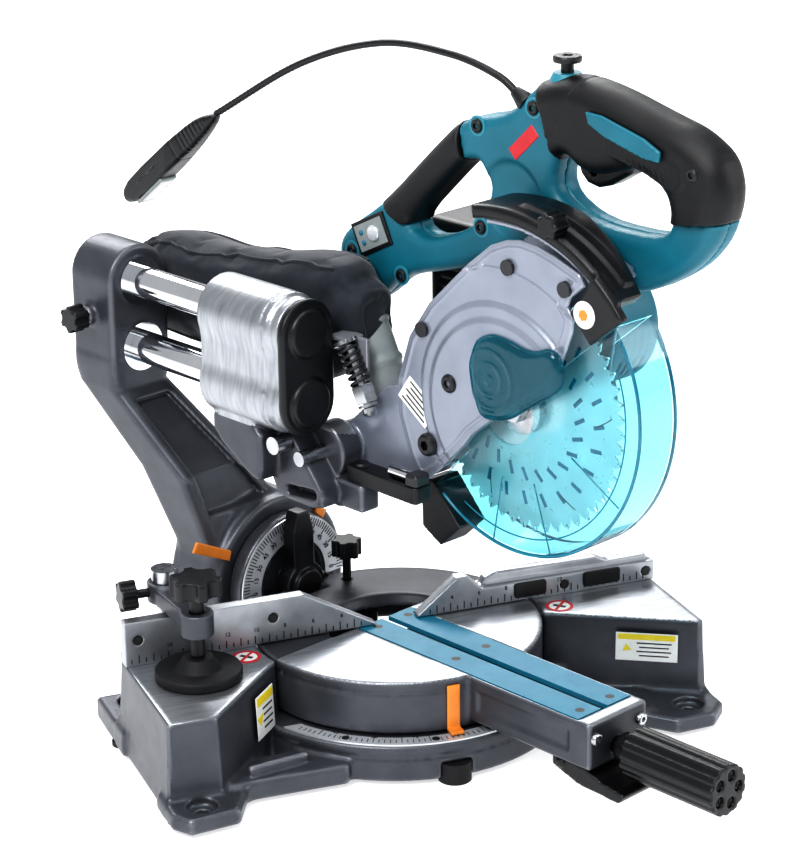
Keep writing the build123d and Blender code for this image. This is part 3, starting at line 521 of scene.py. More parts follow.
def screw(name, at, radius, body, outward=OUT, place=TURNED, finish="black_plastic", slot="black_plastic"):
    """A pan-head screw with a six-sided socket."""
    centre, axis = Vector(at), Vector(outward)
    side_a = axis.orthogonal().normalized()
    side_b = axis.cross(side_a)
    rings = [(1.0, -1.0), (1.0, 0.5), (0.9, 0.95), (0.72, 1.2), (0.45, 1.2), (0.42, 0.2), (0.05, 0.2)]
    steps = 24
    points = []
    for r, h in rings:
        for i in range(steps):
            a = 2 * pi * i / steps
            flat = cos(pi / 6) / cos((a % (pi / 3)) - pi / 6) if r < 0.5 else 1
            points.append(centre + (side_a * cos(a) + side_b * sin(a)) * radius * r * flat + axis * h
                * radius * 0.45)
    return piece(name, points, tube_faces(len(rings), steps), place, body, slot, finish=finish, sharp=30)


for i, (y, z, x) in enumerate(((-57, 415, 20), (-60, 350, 20), (60, 311, 20), (13, 303, 20),
        (-105, 434, 20), (-236, 416, 16)), 1):
    screw(f"body_screw_{i}", (x + 0.6, y, z), 4.6, "head")
    turned_piece(f"body_boss_{i}", [(4.9, 0), (6.6, 0), (6.6, 0.9), (4.9, 0.9)], (x + 0.9, y, z), OUT,
        *ON_HEAD, "teal_plastic", steps=40)

SLOPE = Vector((0, 29, -14.4)).normalized()
RISE = Vector((0, 14.4, 29)).normalized()
PANEL = Vector((19.8, 40, 326))
brick("switch_panel_frame", PANEL, SLOPE, RISE, OUT, (33, 23, 2.2), *ON_HEAD, "black_plastic")
brick("switch_panel_plate", PANEL + OUT * 1.2, SLOPE, RISE, OUT, (28, 18, 1), *ON_HEAD, "grey_plastic")
turned_piece("lamp_switch", [(5.4, 0), (5.4, 1.4), (4.8, 2), (2, 2.2), (0.1, 2.2)],
    PANEL + OUT * 1.6 + SLOPE * -4, OUT, *ON_HEAD, "scale_white")
for i, step in enumerate((3.5, -3.5)):
    turned_piece(f"panel_light_{i + 1}", [(1.7, 0), (1.7, 0.8), (1.2, 1.3), (0.1, 1.4)],
        PANEL + OUT * 1.6 + SLOPE * 8 + RISE * step, OUT, *ON_HEAD, "board_blue", steps=24)
LEAN = Vector((0, -19, 18)).normalized()
ACROSS_LEAN = Vector((0, 18, 19)).normalized()
brick("body_badge", (20.6, -97, 411), LEAN, ACROSS_LEAN, OUT, (27, 9, 1.6), *ON_HEAD, "teal_plastic",
    finish="red_print")

# ---- blade case

CASE_TOP = [(-191, 350), (-153, 363), (-128, 365), (-103, 354), (-41, 295), (-22, 239)]
PLATE = rounded(CASE_TOP + [(-42, 187), (-55, 190), (-86, 219), (-98, 234), (-165, 285), (-180, 323),
    (-171, 333)], 1)
CENTRE = rounded([(-99, 289), (-104, 298), (-115, 303), (-130, 302), (-147, 298), (-168, 306), (-177, 292),
    (-174, 279), (-148, 262), (-130, 249), (-108, 245), (-101, 258), (-97, 277)])


def from_arbor(y, z):
    """Radius and angle up from the front of the arbor, in degrees."""
    return np.hypot(y - ARBOR[0], z - ARBOR[1]), np.degrees(np.arctan2(z - ARBOR[1], ARBOR[0] - y))


def plate_field(x, y, z):
    """The case's side plate: a raised step round the blade's centre, a rim, and a bead by its edge."""
    edge = outline(PLATE, y, z)
    r, _ = from_arbor(y, z)
    raised = 2.2 * np.clip((71 - r) / 3, 0, 1) + 1.6 * np.clip((61 - r) / 3, 0, 1)
    bead = 0.9 * np.clip(1 - np.abs(edge + 5) / 1.4, 0, 1)
    arc = 0.8 * np.clip(1 - np.abs(r - 92) / 1.2, 0, 1) * (z > 285)
    face = np.abs(x + 20.5 + (raised + bead + arc) / 2) - 1.5 - (raised + bead + arc) / 2
    return soft_both(edge, face, 1.4)


sculpt("side_plate", plate_field, (-27, -194, 184), (-18.5, -19, 368), 1.0, *ON_HEAD, "case_grey",
    ["case_side_plate"])


def hood_field(x, y, z):
    """The black hood over the case's top, with a foot that comes down over the plate at the front."""
    r, angle = from_arbor(y, z)
    arc = (np.abs(angle - 73) - 29) * radians(1) * r
    right = np.interp(angle, (45, 75), (2, 18))
    band = thick(both(np.abs(r - 126.5) - 4.6, arc), x, -23, right, 3.5)
    foot = thick(both(np.abs(r - 114) - 17, (np.abs(angle - 46) - 7) * radians(1) * r), x, -26, -19.2, 2.5)
    ridge = thick(both(np.abs(r - 131) - 1.8, (np.abs(angle - 68) - 20) * radians(1) * r), x, -10, 0, 1.5)
    return join(join(band, foot, 4), ridge, 2)


sculpt("hood_moulding", hood_field, (-28, -232, 310), (20, -88, 388), 1.3, *ON_HEAD, "black_plastic",
    ["case_hood"])


def centre_field(x, y, z):
    """The clear cover over the blade's bolt: a hollow shell with rings round its middle."""
    shell = thick(outline(CENTRE, y, z), x, -31, -22.6, 5)
    r = np.hypot(y + 117, z - 274)
    shell = shell - 0.5 * np.clip(np.sin(r * 0.75), 0, 1) * (r < 26)
    return cut(shell, thick(outline(CENTRE, y, z) + 2.6, x, -28.6, -10, 2))


sculpt("centre_moulding", centre_field, (-33, -184, 240), (-21, -94, 311), 0.9, *ON_HEAD, "guard_clear",
    ["centre_cover"], finish="guard_dark")


def knob_field(x, y, z, at, radius, lobes, low, high):
    """A lobed knob whose axis is x."""
    angle = np.arctan2(z - at[1], y - at[0])
    r = np.hypot(y - at[0], z - at[1])
    return thick(r - radius + 0.09 * radius * (1 + np.cos(lobes * angle)), x, low, high, 1.6)


sculpt("hood_knob", lambda x, y, z: knob_field(x, y, z, (-160, 379), 8.5, 7, -27, -14), (-28, -170, 369),
    (-13, -150, 389), 0.7, *ON_HEAD, "black_plastic")
turned_piece("hood_disc", [(8.5, 0), (8.5, 0.9), (7.6, 1.4), (0.1, 1.5)], (-25.6, -191, 331), OUT, *ON_HEAD,
    "black_plastic", finish="white_print", steps=48)
turned_piece("hood_disc_mark", [(3.6, 0), (3.6, 0.5), (0.1, 0.5)], (-27, -191, 331), OUT, *ON_HEAD,
    "black_plastic", finish="pointer_orange", steps=6)
for name, at, radius in (("plate_stud", (-77, 261), 6.2), ("plate_cap", (-57, 215), 7.6)):
    screw(name, (-24.6, *at), radius, "head")
brick("case_label", (-22.5, -45, 240), (0, -0.82, -0.57), (0, -0.57, 0.82), OUT, (30, 19, 0.8), *ON_HEAD,
    "case_grey", finish="white_print")
piece("case_label_rules", *gather([flat_box(Vector((-23, -45, 240)) + Vector((0, -0.57, 0.82))
    * (3.4 * k - 6.5), (0, -0.82, -0.57), (0, -0.57, 0.82), OUT, (24 - 5 * (k % 2), 1, 0.4))
    for k in range(5)]), *ON_HEAD, "case_grey", finish="black_print")
for name, finish in (("head_screws", "black_plastic"), ("base_screws", "black_print"),
        ("table_screws", "black_print"), ("blade_case", "case_grey")):
    NODES[name].data.materials[0] = LOOKS[finish]

# ---- slide


def carriage_field(x, y, z):
    """The machined barrel round the two rails, and the bracket below it that carries the head's hinge."""
    section = join(np.hypot(x - RAIL_X, z - RAIL_TOP) - 24, np.hypot(x - RAIL_X, z - RAIL_LOW) - 24, 8)
    section = join(section, pill(x, z, (RAIL_X, RAIL_LOW), (RAIL_X, RAIL_TOP), 21.5), 3)
    barrel = thick(section, y, 30, 100, 3)
    groove = np.abs(y - 36) - 0.9
    barrel = cut(barrel, both(groove, -section - 1.2))
    nose = thick(section + 2.5, y, 22.5, 32, 1)
    panel = both(np.abs(z - RAIL_MID) - 9, np.abs(y - 70) - 24)
    barrel = join(barrel, nose)
    barrel = cut(barrel, both(panel, x + 82.2), 1)
    arm = thick(outline(rounded([(52, 214), (58, 176), (50, 160), (8, 160), (6, 172), (14, 182), (40, 212)],
        1), y, z), x, -60, -24, 3)
    web = thick(outline(rounded([(96, 216), (96, 198), (60, 176), (48, 174), (48, 216)], 1), y, z), x, -76,
        -42, 3)
    beam = thick(both(np.abs(y - 42) - 10, np.abs(z - 168) - 8), x, -26, 23, 2)
    shelf = both(np.abs(x + 36) - 8, np.abs(y + 2) - 12, np.abs(z - 170) - 9.5)
    solid = join(join(join(barrel, web, 4), join(arm, beam, 3), 3), shelf, 2)
    for low, high in ((-42, -24), (14, 23)):
        solid = join(solid, bar(y, z, x, HINGE, 19, low, high, 2), 2)
        foot = outline(rounded([(8, 182), (8, 162), (50, 160), (52, 176), (42, 190)], 1), y, z)
        solid = join(solid, thick(foot, x, low, high, 2), 2)
    slot = thick(pill(y, z, (16, 170), (38, 168), 3.5), x, -80, -50, 0.5)
    return cut(solid, slot, 1)


sculpt("carriage_casting", carriage_field, (-86, -16, 156), (25, 102, 308), 1.5, TURNED, "carriage",
    "machined", ["carriage"], extra=["cast_grey"],
    paint=lambda c, n: int(c.z < 213 - max(0, (c.x + 62) * 0.2)))


def cap_field(x, y, z):
    cap = thick(pill(x, z, (RAIL_X, RAIL_LOW), (RAIL_X, RAIL_TOP), 22.5), y, 16, 22, 2.5)
    for level in (RAIL_LOW, RAIL_TOP):
        cap = join(cap, bar(x, z, y, (RAIL_X, level), 16, 13, 20, 2), 1.5)
    return cap


sculpt("rail_end_cap", cap_field, (-85, 12, 209), (-36, 23, 306), 1.0, TURNED, "carriage", "black_plastic",
    ["end_cap"])


def arm_field(x, y, z):
    """The bevelling arm: a round foot, a leaning column with a dished front, and the rear bearing block."""
    levels = (60, 88, 150, 206, 215)
    x_low, x_high = (np.interp(z, levels, v) for v in ((-54, -54, -70, -84, -84), (36, 36, -10, -36, -36)))
    y_low, y_high = (np.interp(z, levels, v) for v in ((124, 124, 134, 188, 188), (166, 166, 186, 232, 232)))
    a = np.abs(x - (x_low + x_high) / 2) - (x_high - x_low) / 2
    b = np.abs(y - (y_low + y_high) / 2) - (y_high - y_low) / 2
    column = soft_both(a, b, 8)
    dish = both(a + 10.5, y - y_low - 7, -(y - y_low) - 9)
    dish = both(dish, z - 198, 122 - z)
    column = cut(column, dish, 2.5)
    column = both(column, z - 225, 80 - z)
    foot = bar(x, z, y, (0, TABLE), 58, 118.4, 170, 3)
    block = thick(pill(x, z, (RAIL_X, RAIL_LOW - 12), (RAIL_X, RAIL_TOP), 25), y, 188, 232, 3)
    waist = bar(y, z, x, (210, RAIL_MID), 7, -92, -82.5, 1)
    solid = join(join(foot, column, 7), join(block, waist, 3), 5)
    for level in (RAIL_LOW, RAIL_TOP):
        solid = cut(solid, np.hypot(x - RAIL_X, z - level) - 14)
    hollow = both(np.hypot(x, z - TABLE) - 50, 20 - np.hypot(x, z - TABLE), 132 - y)
    solid = cut(solid, hollow)
    solid = cut(solid, np.hypot(x, z - TABLE) - 10.05)
    return cut(solid, both(np.hypot(y - 210, z - RAIL_MID) - 3.1, x + 78))


sculpt("bevel_arm_casting", arm_field, (-94, 114, 4), (62, 236, 310), 1.8, TURNED, "bevel_arm", "cast_grey",
    ["bevel_arm"])

# ---- base

LEFT_WING = [(-193, -96), (-157, -97), (-92, -27), (-76, 17), (-193, 17)]
RIGHT_WING = [(195, 17), (195, -78), (188, -82), (96, -27), (76, 17)]
LEFT_LUG = [(-196, -80), (-196, -112), (-187, -125), (-153, -121), (-138, -92), (-160, -80)]
RIGHT_LUG = [(197, -55), (197, -98), (184, -112), (156, -113), (138, -94), (140, -60)]
HOLES = [(-174, -107), (174, -92), (-174, 46), (174, 46)]
FOOT = 3.0


def base_field(x, y, z):
    """The base: a ring, two hollow wings, foot lugs with counterbored holes, and webs under the ring."""
    r = np.hypot(x, y)
    lean = (z - FOOT) * math.tan(radians(3))
    left, right = outline(LEFT_WING, x, y), outline(RIGHT_WING, x, y)
    wings = join(thick(left + lean, z, FOOT, TABLE, 1.6), thick(right + lean, z, FOOT, TABLE, 1.6))
    wings = cut(wings, thick(join(left, right) + 9, z, FOOT - 9, TABLE - 8, 2))
    ring = thick(r - 113, z, FOOT, 28, 2.2)
    groove = both(np.abs(z - 20) - 1.4, 112 - r)
    ring = cut(ring, groove, 0.8)
    ring = cut(ring, both(r - 105, z - 19))
    angle = np.arctan2(y, x)
    webs = both(np.abs(np.sin(3 * angle)) * r / 3 - 3, r - 108, FOOT - z, z - 22)
    ring = join(ring, join(webs, bar(x, y, z, (0, 0), 24, FOOT, 22, 1)))
    aprons = join(thick(outline([(-170, -60), (-150, -94), (-72, -96), (-40, -60)], x, y), z, FOOT, 17, 3),
        thick(outline([(40, -70), (70, -92), (150, -92), (160, -50), (80, 0)], x, y), z, FOOT, 15, 3))
    ridge = thick(pill(x, y, (-134, -86), (-96, -80), 2.2), z, FOOT, 24, 1.2)
    solid = join(join(wings, ring, 4), join(aprons, ridge, 2), 3)
    lugs = join(outline(LEFT_LUG, x, y), outline(RIGHT_LUG, x, y))
    legs = join(both(np.abs(x + 177.5) - 17.5, np.abs(y - 31) - 31),
        both(np.abs(x - 177.5) - 17.5, np.abs(y - 31) - 31))
    solid = join(solid, join(thick(lugs, z, FOOT, 14, 3), thick(legs, z, FOOT, 20, 3)), 5)
    solid = join(solid, bar(x, y, z, (-155, 22), 12, FOOT, TABLE, 1.5), 2)
    solid = cut(solid, both(r - 100, 28 - z))
    for hx, hy in HOLES:
        hole = np.hypot(x - hx, y - hy)
        solid = cut(solid, join(hole - 4.5, both(hole - 10, 9 - z)), 0.8)
    solid = cut(solid, r - 8.05)
    solid = cut(solid, both(r - 15, z - 10))
    solid = cut(solid, both(np.hypot(x + 155, y - 22) - 6.05, 40 - z))
    return cut(solid, both(np.hypot(x + 3, y + 108) - 11.2, z - 14.2))


def machined_top(level):
    """The finish of a casting whose flat top at a level is machined."""
    return lambda c, n: int(n.z > 0.9 and c.z > level - 0.7)


sculpt("base_body", base_field, (-198, -127, 2), (199, 64, 68), 1.7, *ON_BASE, "cast_grey",
    ["base_casting"], extra=["machined"], paint=machined_top(TABLE))


def table_field(x, y, z):
    """The turntable: a drum with a dished well, the slotted front arm, and the bevel flange."""
    r = np.hypot(x, y)
    drum = thick(r - 98, z, 30, TABLE, 1.2)
    lip = both(np.abs(z - 58) - 0.7, 97 - r)
    drum = cut(drum, lip, 0.5)
    drum = cut(drum, both(r - 91, z - 58))
    arm = thick(both(np.abs(x) - 27, np.abs(y + 130) - 70), z, 34, TABLE, 2.2)
    recess = both(np.abs(z - 50) - 7, np.abs(y + 142) - 40)
    arm = cut(arm, both(recess, 25.6 - np.abs(x)), 1)
    under = both(np.abs(x) - 22, np.abs(y + 137) - 49, z - 56)
    arm = cut(arm, under)
    boss = thick(both(np.abs(x) - 38, np.abs(y - 84) - 24), z, 34, 45, 1)
    cheeks = thick(both(np.abs(np.abs(x) - 32) - 6, np.abs(y - 84) - 24), z, 34, 60, 1)
    flange = bar(x, z, y, (0, TABLE), 48, 106, 118, 1.5)
    flange = cut(flange, both(np.hypot(x, z - TABLE) - 26, y - 108))
    solid = join(join(drum, arm, 2), join(join(boss, cheeks, 2), flange, 3), 3)
    well = both(r - 50 + (TABLE - z) * 0.58, 58 - z)
    solid = cut(solid, both(well, 14 - y), 1.2)
    solid = cut(solid, both(np.abs(x) - 24.7, np.abs(y + 88) - 100.2, TABLE - 3.2 - z))
    solid = cut(solid, both(np.abs(x) - 12.5, np.abs(y + 82) - 98, 42 - z))
    solid = cut(solid, both(z - 30, np.abs(y - 115) - 15))
    solid = cut(solid, np.hypot(x, y) - 8.05)
    solid = cut(solid, both(np.hypot(x, z - TABLE) - 10.05, 80 - y))
    solid = cut(solid, both(np.hypot(x - 28, y - 80) - 3.05, 40 - z))
    return cut(solid, both(np.hypot(x, z - 44) - 5.05, y + 150))


# The table's front top is machined; its rear inside the rim, its well, the blade slot and the arm's underside
# take the darker copy of the cast paint, which is painted shade.
sculpt("turntable_body", table_field, (-100, -202, 14), (100, 119, 116), 1.7, *ON_TABLE, "cast_grey",
    ["turntable_casting"], extra=["machined", "painted_shade_cast"],
    paint=lambda c, n: 1 if n.z > 0.9 and c.z > TABLE - 0.7 and c.y < 13
    else (2 if hypot(c.x, c.y) < 97.6 and c.y > 4 or abs(c.x) < 25 and c.z < TABLE - 2.5 else 0))

for name, voxel in (("left_fence", 1.0), ("right_fence", 1.0), ("vise_arm", 0.9), ("vise_screw", 0.8),
        ("vise_thumb_screw", 0.6), ("rear_knob", 0.6), ("slide_lock_knob", 0.6), ("mitre_grip", 0.9),
        ("detent_lever", 0.9), ("bevel_lock_lever", 0.9), ("depth_stop_lever", 0.9), ("dust_chute", 0.9),
        ("blade_case", 1.2), ("gear_housing", 1.2), ("bevel_pointers", 0.6), ("mitre_pointer", 0.6),
        ("vise_pad", 0.9), ("fence_inserts", 0.5)):
    remesh = NODES[name].modifiers.new("round_edges", "REMESH")
    remesh.mode = "VOXEL"
    remesh.voxel_size = voxel * MM
    remesh.use_smooth_shade = True
    smooth = NODES[name].modifiers.new("soften", "SMOOTH")
    smooth.factor = 0.5
    smooth.iterations = 3

# Fence rulers: a mark every 5 mm, longer every 10.
for side_name, start, end in (("left", -186, -24), ("right", 24, 188)):
    marks = []
    for x in range(start, end, 5):
        tall = 5.5 if (x // 5) % 2 else 3.2
        marks.append(flat_box((x, -0.1, 68 + tall / 2), X, Z, Y, (0.7, tall, 0.4)))
    piece(f"ruler_{side_name}", *gather(marks), *ON_BASE, "machined", finish="black_print", sharp=0)

# The bevel scale's marks, every 3 degrees, longer every 15.
marks = []
for degree in range(-3, 187, 3):
    a = radians(degree)
    out_dir = Vector((cos(a), 0, sin(a)))
    long = degree % 15 == 0
    marks.append(flat_box(Vector((0, 104.7, TABLE)) + out_dir * (42 if long else 43.5), out_dir,
        (-sin(a), 0, cos(a)), Y, (8 if long else 5, 0.6, 0.4)))
piece("bevel_marks", *gather(marks), *ON_TABLE, "scale_white", finish="black_print", sharp=0)
marks = []
for degree in range(212, 330, 2):
    a = radians(degree)
    out_dir = Vector((cos(a), sin(a), 0))
    long = degree % 10 == 0
    marks.append(flat_box(Vector((0, 0, 29.3)) + out_dir * (105 if long else 106.5), out_dir,
        (-sin(a), cos(a), 0), Z, (7 if long else 4, 0.5, 0.3)))
piece("mitre_marks", *gather(marks), *ON_BASE, "scale_white", finish="black_print", sharp=0)


def label(name, centre, along, up_dir, size):
    """A plain sticker: white, with a yellow band and rules where print would be."""
    along, up_dir = Vector(along).normalized(), Vector(up_dir).normalized()
    out_dir = along.cross(up_dir)
    centre = Vector(centre)
    width, height = size
    brick(name, centre, along, up_dir, out_dir, (width, height, 0.6), *ON_BASE, "scale_white",
        finish="white_print")
    brick(name + "_band", centre + up_dir * height * 0.36 + out_dir * 0.3, along, up_dir, out_dir,
        (width * 0.92, height * 0.2, 0.4), *ON_BASE, "scale_white", finish="yellow_print")
    piece(name + "_sign", *lathe([(height * 0.17, 0), (height * 0.17, 0.3), (0.1, 0.3)],
        centre - along * width * 0.32 - up_dir * height * 0.05 + out_dir * 0.3, out_dir, 3), *ON_BASE,
        "scale_white", finish="yellow_print")
    rules = [flat_box(centre + along * width * 0.12 + up_dir * height * (0.14 - 0.15 * k) + out_dir * 0.3,
        along, up_dir, out_dir, (width * (0.56 - 0.08 * (k % 2)), height * 0.045, 0.3)) for k in range(4)]
    piece(name + "_rules", *gather(rules), *ON_BASE, "scale_white", finish="black_print")


label("right_label", (155.5, -64.7, 47), (92, -55, 0), (0.03, 0.045, 1), (42, 20))
label("left_label", (-112, -50.3, 42), (65, 70, 0), (-0.035, 0.035, 1), (26, 30))
for name, at in (("left_disc", (-112, -14)), ("right_disc", (112, -18))):
    spot = (*at, TABLE)
    turned_piece(name, [(9.5, -0.1), (9.5, 0.3), (7.2, 0.3), (7.2, -0.1)], spot, Z, *ON_BASE, "scale_white",
        finish="red_print")
    turned_piece(name + "_ground", [(7.2, -0.1), (7.2, 0.2), (0.1, 0.2)], spot, Z, *ON_BASE, "scale_white",
        finish="white_print")
    brick(name + "_bar", (at[0], at[1], TABLE + 0.25), (1, 1, 0), (-1, 1, 0), Z, (15, 2, 0.3), *ON_BASE,
        "scale_white", finish="red_print")
    brick(name + "_mark", (at[0], at[1], TABLE + 0.15), (-1, 1, 0), (1, 1, 0), Z, (9, 3, 0.3), *ON_BASE,
        "scale_white", finish="black_print")

# ---- lamp

NECK = [(26, -89, 437), (25, -70, 448), (20, -33, 457), (16, 26, 456), (10, 96, 433), (4, 177, 387)]
neck_line = weave(NECK, 240)
piece("lamp_neck_hose", *pipe(neck_line, [2.5 - 0.35 * (k % 2) for k in range(len(neck_line))], 14),
    *ON_HEAD, "black_plastic", ["lamp_gooseneck"], sharp=0)
turned_piece("lamp_neck_socket", [(2.6, 0), (6, 0), (6, 3), (4.4, 9), (3.6, 12), (2.6, 12)],
    (26.5, -94, 434), (-0.1, 19, 11), *ON_HEAD, "black_plastic", steps=32)
LAMP_SIDE = rounded([(172, 389), (190, 384), (207, 373), (264, 329), (273, 317), (269, 309), (257, 312),
    (200, 357), (177, 379)], 1)
LAMP_LINE = Vector((0, 0.78, -0.627))
LAMP_DOWN = Vector((0, -0.627, -0.78))


def lamp_field(x, y, z):
    """The lamp's body: slim where it meets its neck, wider at the lens, with a seam and finger ribs."""
    half = np.interp(y, (172, 190, 222), (4.5, 6.5, 9.6))
    solid = thick(outline(LAMP_SIDE, y, z), x, 3 - half, 3 + half, 4)
    along = (y - 172) * 0.78 - (z - 389) * 0.627
    solid = solid + 0.5 * np.clip(1 - np.abs(along - 52) / 0.9, 0, 1)
    ribs = np.clip(np.sin(along * 1.5), 0, 1) * (along > 14) * (along < 44)
    return solid + 0.5 * ribs * (np.abs(x - 3) > half - 3)


sculpt("lamp_body", lamp_field, (-8, 170, 306), (14, 276, 392), 0.9, *ON_HEAD, "black_plastic", ["lamp_head"])
LENS = Vector((3, 243, 322.6))
brick("lamp_lens_frame", LENS + LAMP_DOWN * 0.2, LAMP_LINE, X, LAMP_DOWN, (34, 15, 2), *ON_HEAD,
    "grey_plastic")
brick("lamp_lens", LENS + LAMP_DOWN * 0.9, LAMP_LINE, X, LAMP_DOWN, (28, 11, 1.4), *ON_HEAD, "grey_plastic",
    finish="white_print")
brick("lamp_side_mark", (-6.2, 243, 335), LAMP_LINE, (0, 0.627, 0.78), OUT, (26, 2, 0.8), *ON_HEAD,
    "grey_plastic")

# ---- dust nozzle and bag

elbow = weave([(-2, 32, 283), (-2, 25, 277), (-2, 17, 263), (-2, 8, 244), (-2, 2, 226)], 40)
piece("nozzle_elbow", *pipe(elbow, [13.6 + 1.3 * (k % 13 < 2) for k in range(40)], 40), *ON_HEAD,
    "grey_plastic", ["dust_nozzle"])
brick("nozzle_clip", (-16, 15, 258), (0, 0.45, 0.89), (0, 0.89, -0.45), OUT, (13, 11, 2.4), *ON_HEAD,
    "black_plastic")
BAG_SIDE = rounded([(8, 264), (9, 294), (40, 317), (75, 315), (228, 299), (238, 285), (236, 230), (70, 225),
    (38, 240)], 2)


def bag_field(x, y, z):
    """The bag's cut shape before it swells: a sleeve over the nozzle that widens to the body."""
    left, right = np.interp(y, (-13, 45), (-21, -26)), np.interp(y, (-13, 45), (9, 15))
    return thick(outline(BAG_SIDE, y, z), x, left, right, 15)


CLOTH_STEPS = 20


def swell(made, pinned, most, pressure, spare):
    """Cloth under pressure, held at some points, each point kept near where it started."""
    group = made.vertex_groups.new(name="held")
    group.add(pinned, 1.0, "REPLACE")
    cloth = made.modifiers.new("cloth", "CLOTH")
    settings = cloth.settings
    settings.quality = 6
    settings.vertex_group_mass = "held"
    settings.use_pressure = True
    settings.uniform_pressure_force = pressure
    settings.effector_weights.gravity = 0
    settings.shrink_min = -spare
    settings.bending_stiffness = 0.2
    cloth.collision_settings.use_collision = False
    scene = bpy.context.scene
    before = [v.co.copy() for v in made.data.vertices]
    for step in range(1, CLOTH_STEPS + 1):
        scene.frame_set(step)
    shape = made.evaluated_get(bpy.context.evaluated_depsgraph_get()).to_mesh()
    after = [v.co.copy() for v in shape.vertices]
    made.modifiers.remove(cloth)
    made.vertex_groups.remove(group)
    for vert, old, new in zip(made.data.vertices, before, after):
        way = new - old
        vert.co = old + way * min(1, most * MM / max(way.length, 1e-9))
    scene.frame_set(1)


bag_points, bag_quads = contour(bag_field, (-30, -12, 220), (20, 242, 320), 4.0)
bag = piece("dust_bag_fabric", bag_points, bag_quads, *ON_HEAD, "bag_fabric", ["dust_bag"], sharp=0)
swell(bag, [i for i, p in enumerate(bag_points) if p[1] < 12 or p[1] > 233], 4.5, 4.0, 0.05)
for vert, (x, y, z) in zip(bag.data.vertices, bag_points):
    near_neck = math.exp(-((y - 15) / 40) ** 2)
    folds = 1.3 * sin(0.21 * z + 0.12 * y + 2 * sin(0.02 * y)) * near_neck
    folds += 0.8 * sin(0.075 * y - 0.11 * z + 1.4 * sin(0.05 * z)) * (1 - near_neck)
    sag = -4 * sin(pi * min(max((y - 40) / 195, 0), 1)) * max(0, min(1, (z - 285) / 20))
    vert.co += vert.normal * folds * MM + Vector((0, 0, sag * MM))
bag.modifiers.new("smoother", "SUBSURF").levels = 1


def seam(name, route, radius):
    """Piping sewn along the bag: a route laid onto the fabric."""
    laid = []
    for point in weave(route, 90):
        found, spot, normal, _ = bag.closest_point_on_mesh(TURNED @ point)
        laid.append(TURNED.inverted() @ (spot + normal * 0.2 * MM) if found else point)
    return piece(name, *pipe(laid, radius, 8), *ON_HEAD, "bag_fabric", sharp=0)


for side_name, x in (("left", -28), ("right", 18)):
    seam(f"bag_seam_{side_name}", [(x, 30, 322), (x, 75, 318), (x, 150, 312), (x, 228, 302), (x, 240, 285),
        (x, 240, 235), (x, 215, 224), (x, 120, 222), (x, 66, 222)], 1.3)
brick("bag_clasp", (-5.5, 238.5, 260), X, Z, Y, (6, 40, 3), *ON_HEAD, "black_plastic")

# ---- return spring and depth bolt

SPRING_TOP, SPRING_FOOT = Vector((-30, 14, 270)), Vector((-30, -1, 243))
BOLT_FOOT = Vector((-30, -22, 198))
spring_line = SPRING_FOOT - SPRING_TOP
spring_side = X
spring_third = spring_line.normalized().cross(spring_side)
coil = [SPRING_TOP + spring_line * (k / 160)
    + (spring_side * cos(k * 0.275) + spring_third * sin(k * 0.275)) * 6.2 for k in range(161)]
piece("return_spring_coil", *pipe(coil, 1.2, 8), *ON_HEAD, "black_plastic", sharp=0)
DOWN_BOLT = (BOLT_FOOT - SPRING_FOOT).normalized()
turned_piece("depth_bolt", [(3, -30), (3, 15), (5.2, 15.6), (5.2, 18.4), (3.4, 20.6), (0.5, 21.3)],
    SPRING_FOOT, DOWN_BOLT, *ON_HEAD, "satin_steel", steps=24)
turned_piece("depth_bolt_nut", [(3, 0), (7.4, 0), (8, 1), (8, 11), (7.4, 12), (3, 12)], SPRING_FOOT,
    DOWN_BOLT, *ON_HEAD, "satin_steel", steps=6)
turned_piece("depth_bolt_collar", [(3, 0), (6.6, 0), (6.6, 1.8), (3, 1.8)], SPRING_FOOT + DOWN_BOLT * 12.8,
    DOWN_BOLT, *ON_HEAD, "machined", steps=40)
turned_piece("spring_seat", [(2, 0), (9, 0), (9, 2.5), (5, 4), (2, 4)], SPRING_TOP, spring_line, *ON_HEAD,
    "satin_steel", steps=32)
piece("spring_bracket", *gather([flat_box((-24.5, 8, 262), Y, Z, X, (20, 22, 3)),
    flat_box((-29, 14, 272.5), X, Y, Z, (16, 16, 3))]), *ON_HEAD, "cast_grey")
turned_piece("stop_rod", [(0.5, 0), (3.4, 0), (4, 1), (4, 20), (0.5, 20)], (-36, -34, 195), (0, -1, 0),
    TURNED, "depth_stop_lever", "satin_steel", finish="chrome_rail", steps=40)
brick("stop_rod_end", (-36, -58, 194.5), X, Y, Z, (14, 11, 9), TURNED, "depth_stop_lever", "black_plastic")

# ---- motor and battery

MOTOR = (-100.25, 283.48)
MOTOR_END = 102.2


def motor_field(x, y, z):
    """The motor's housing: a barrel with cooling slots, and the battery's rail."""
    r = np.hypot(y - MOTOR[0], z - MOTOR[1])
    angle = np.arctan2(z - MOTOR[1], y - MOTOR[0])
    solid = bar(y, z, x, MOTOR, 42, 45, MOTOR_END, 7)
    solid = join(solid, thick(pill(y, z, ARBOR, MOTOR, 35), x, 38.2, 48.2, 2), 3)
    solid = join(solid, thick(both(np.abs(y + 62.5) - 12.5, np.abs(z - 292.5) - 37.5), x, 50, MOTOR_END, 3),
        4)
    ends = both(np.abs(r - 24) - 9, 0.25 - np.cos(angle * 12), MOTOR_END - 3 - x)
    sides = both(39 - r, 0.2 - np.cos((x - 60) * 0.9), np.abs(x - 78) - 15)
    sides = both(sides, np.abs(np.abs(angle + 1.7) - 0.6) - 0.4)
    solid = cut(solid, ends, 0.8)
    solid = cut(solid, sides, 0.8)
    return cut(solid, both(np.abs(x - 56) - 0.8, 41 - r))


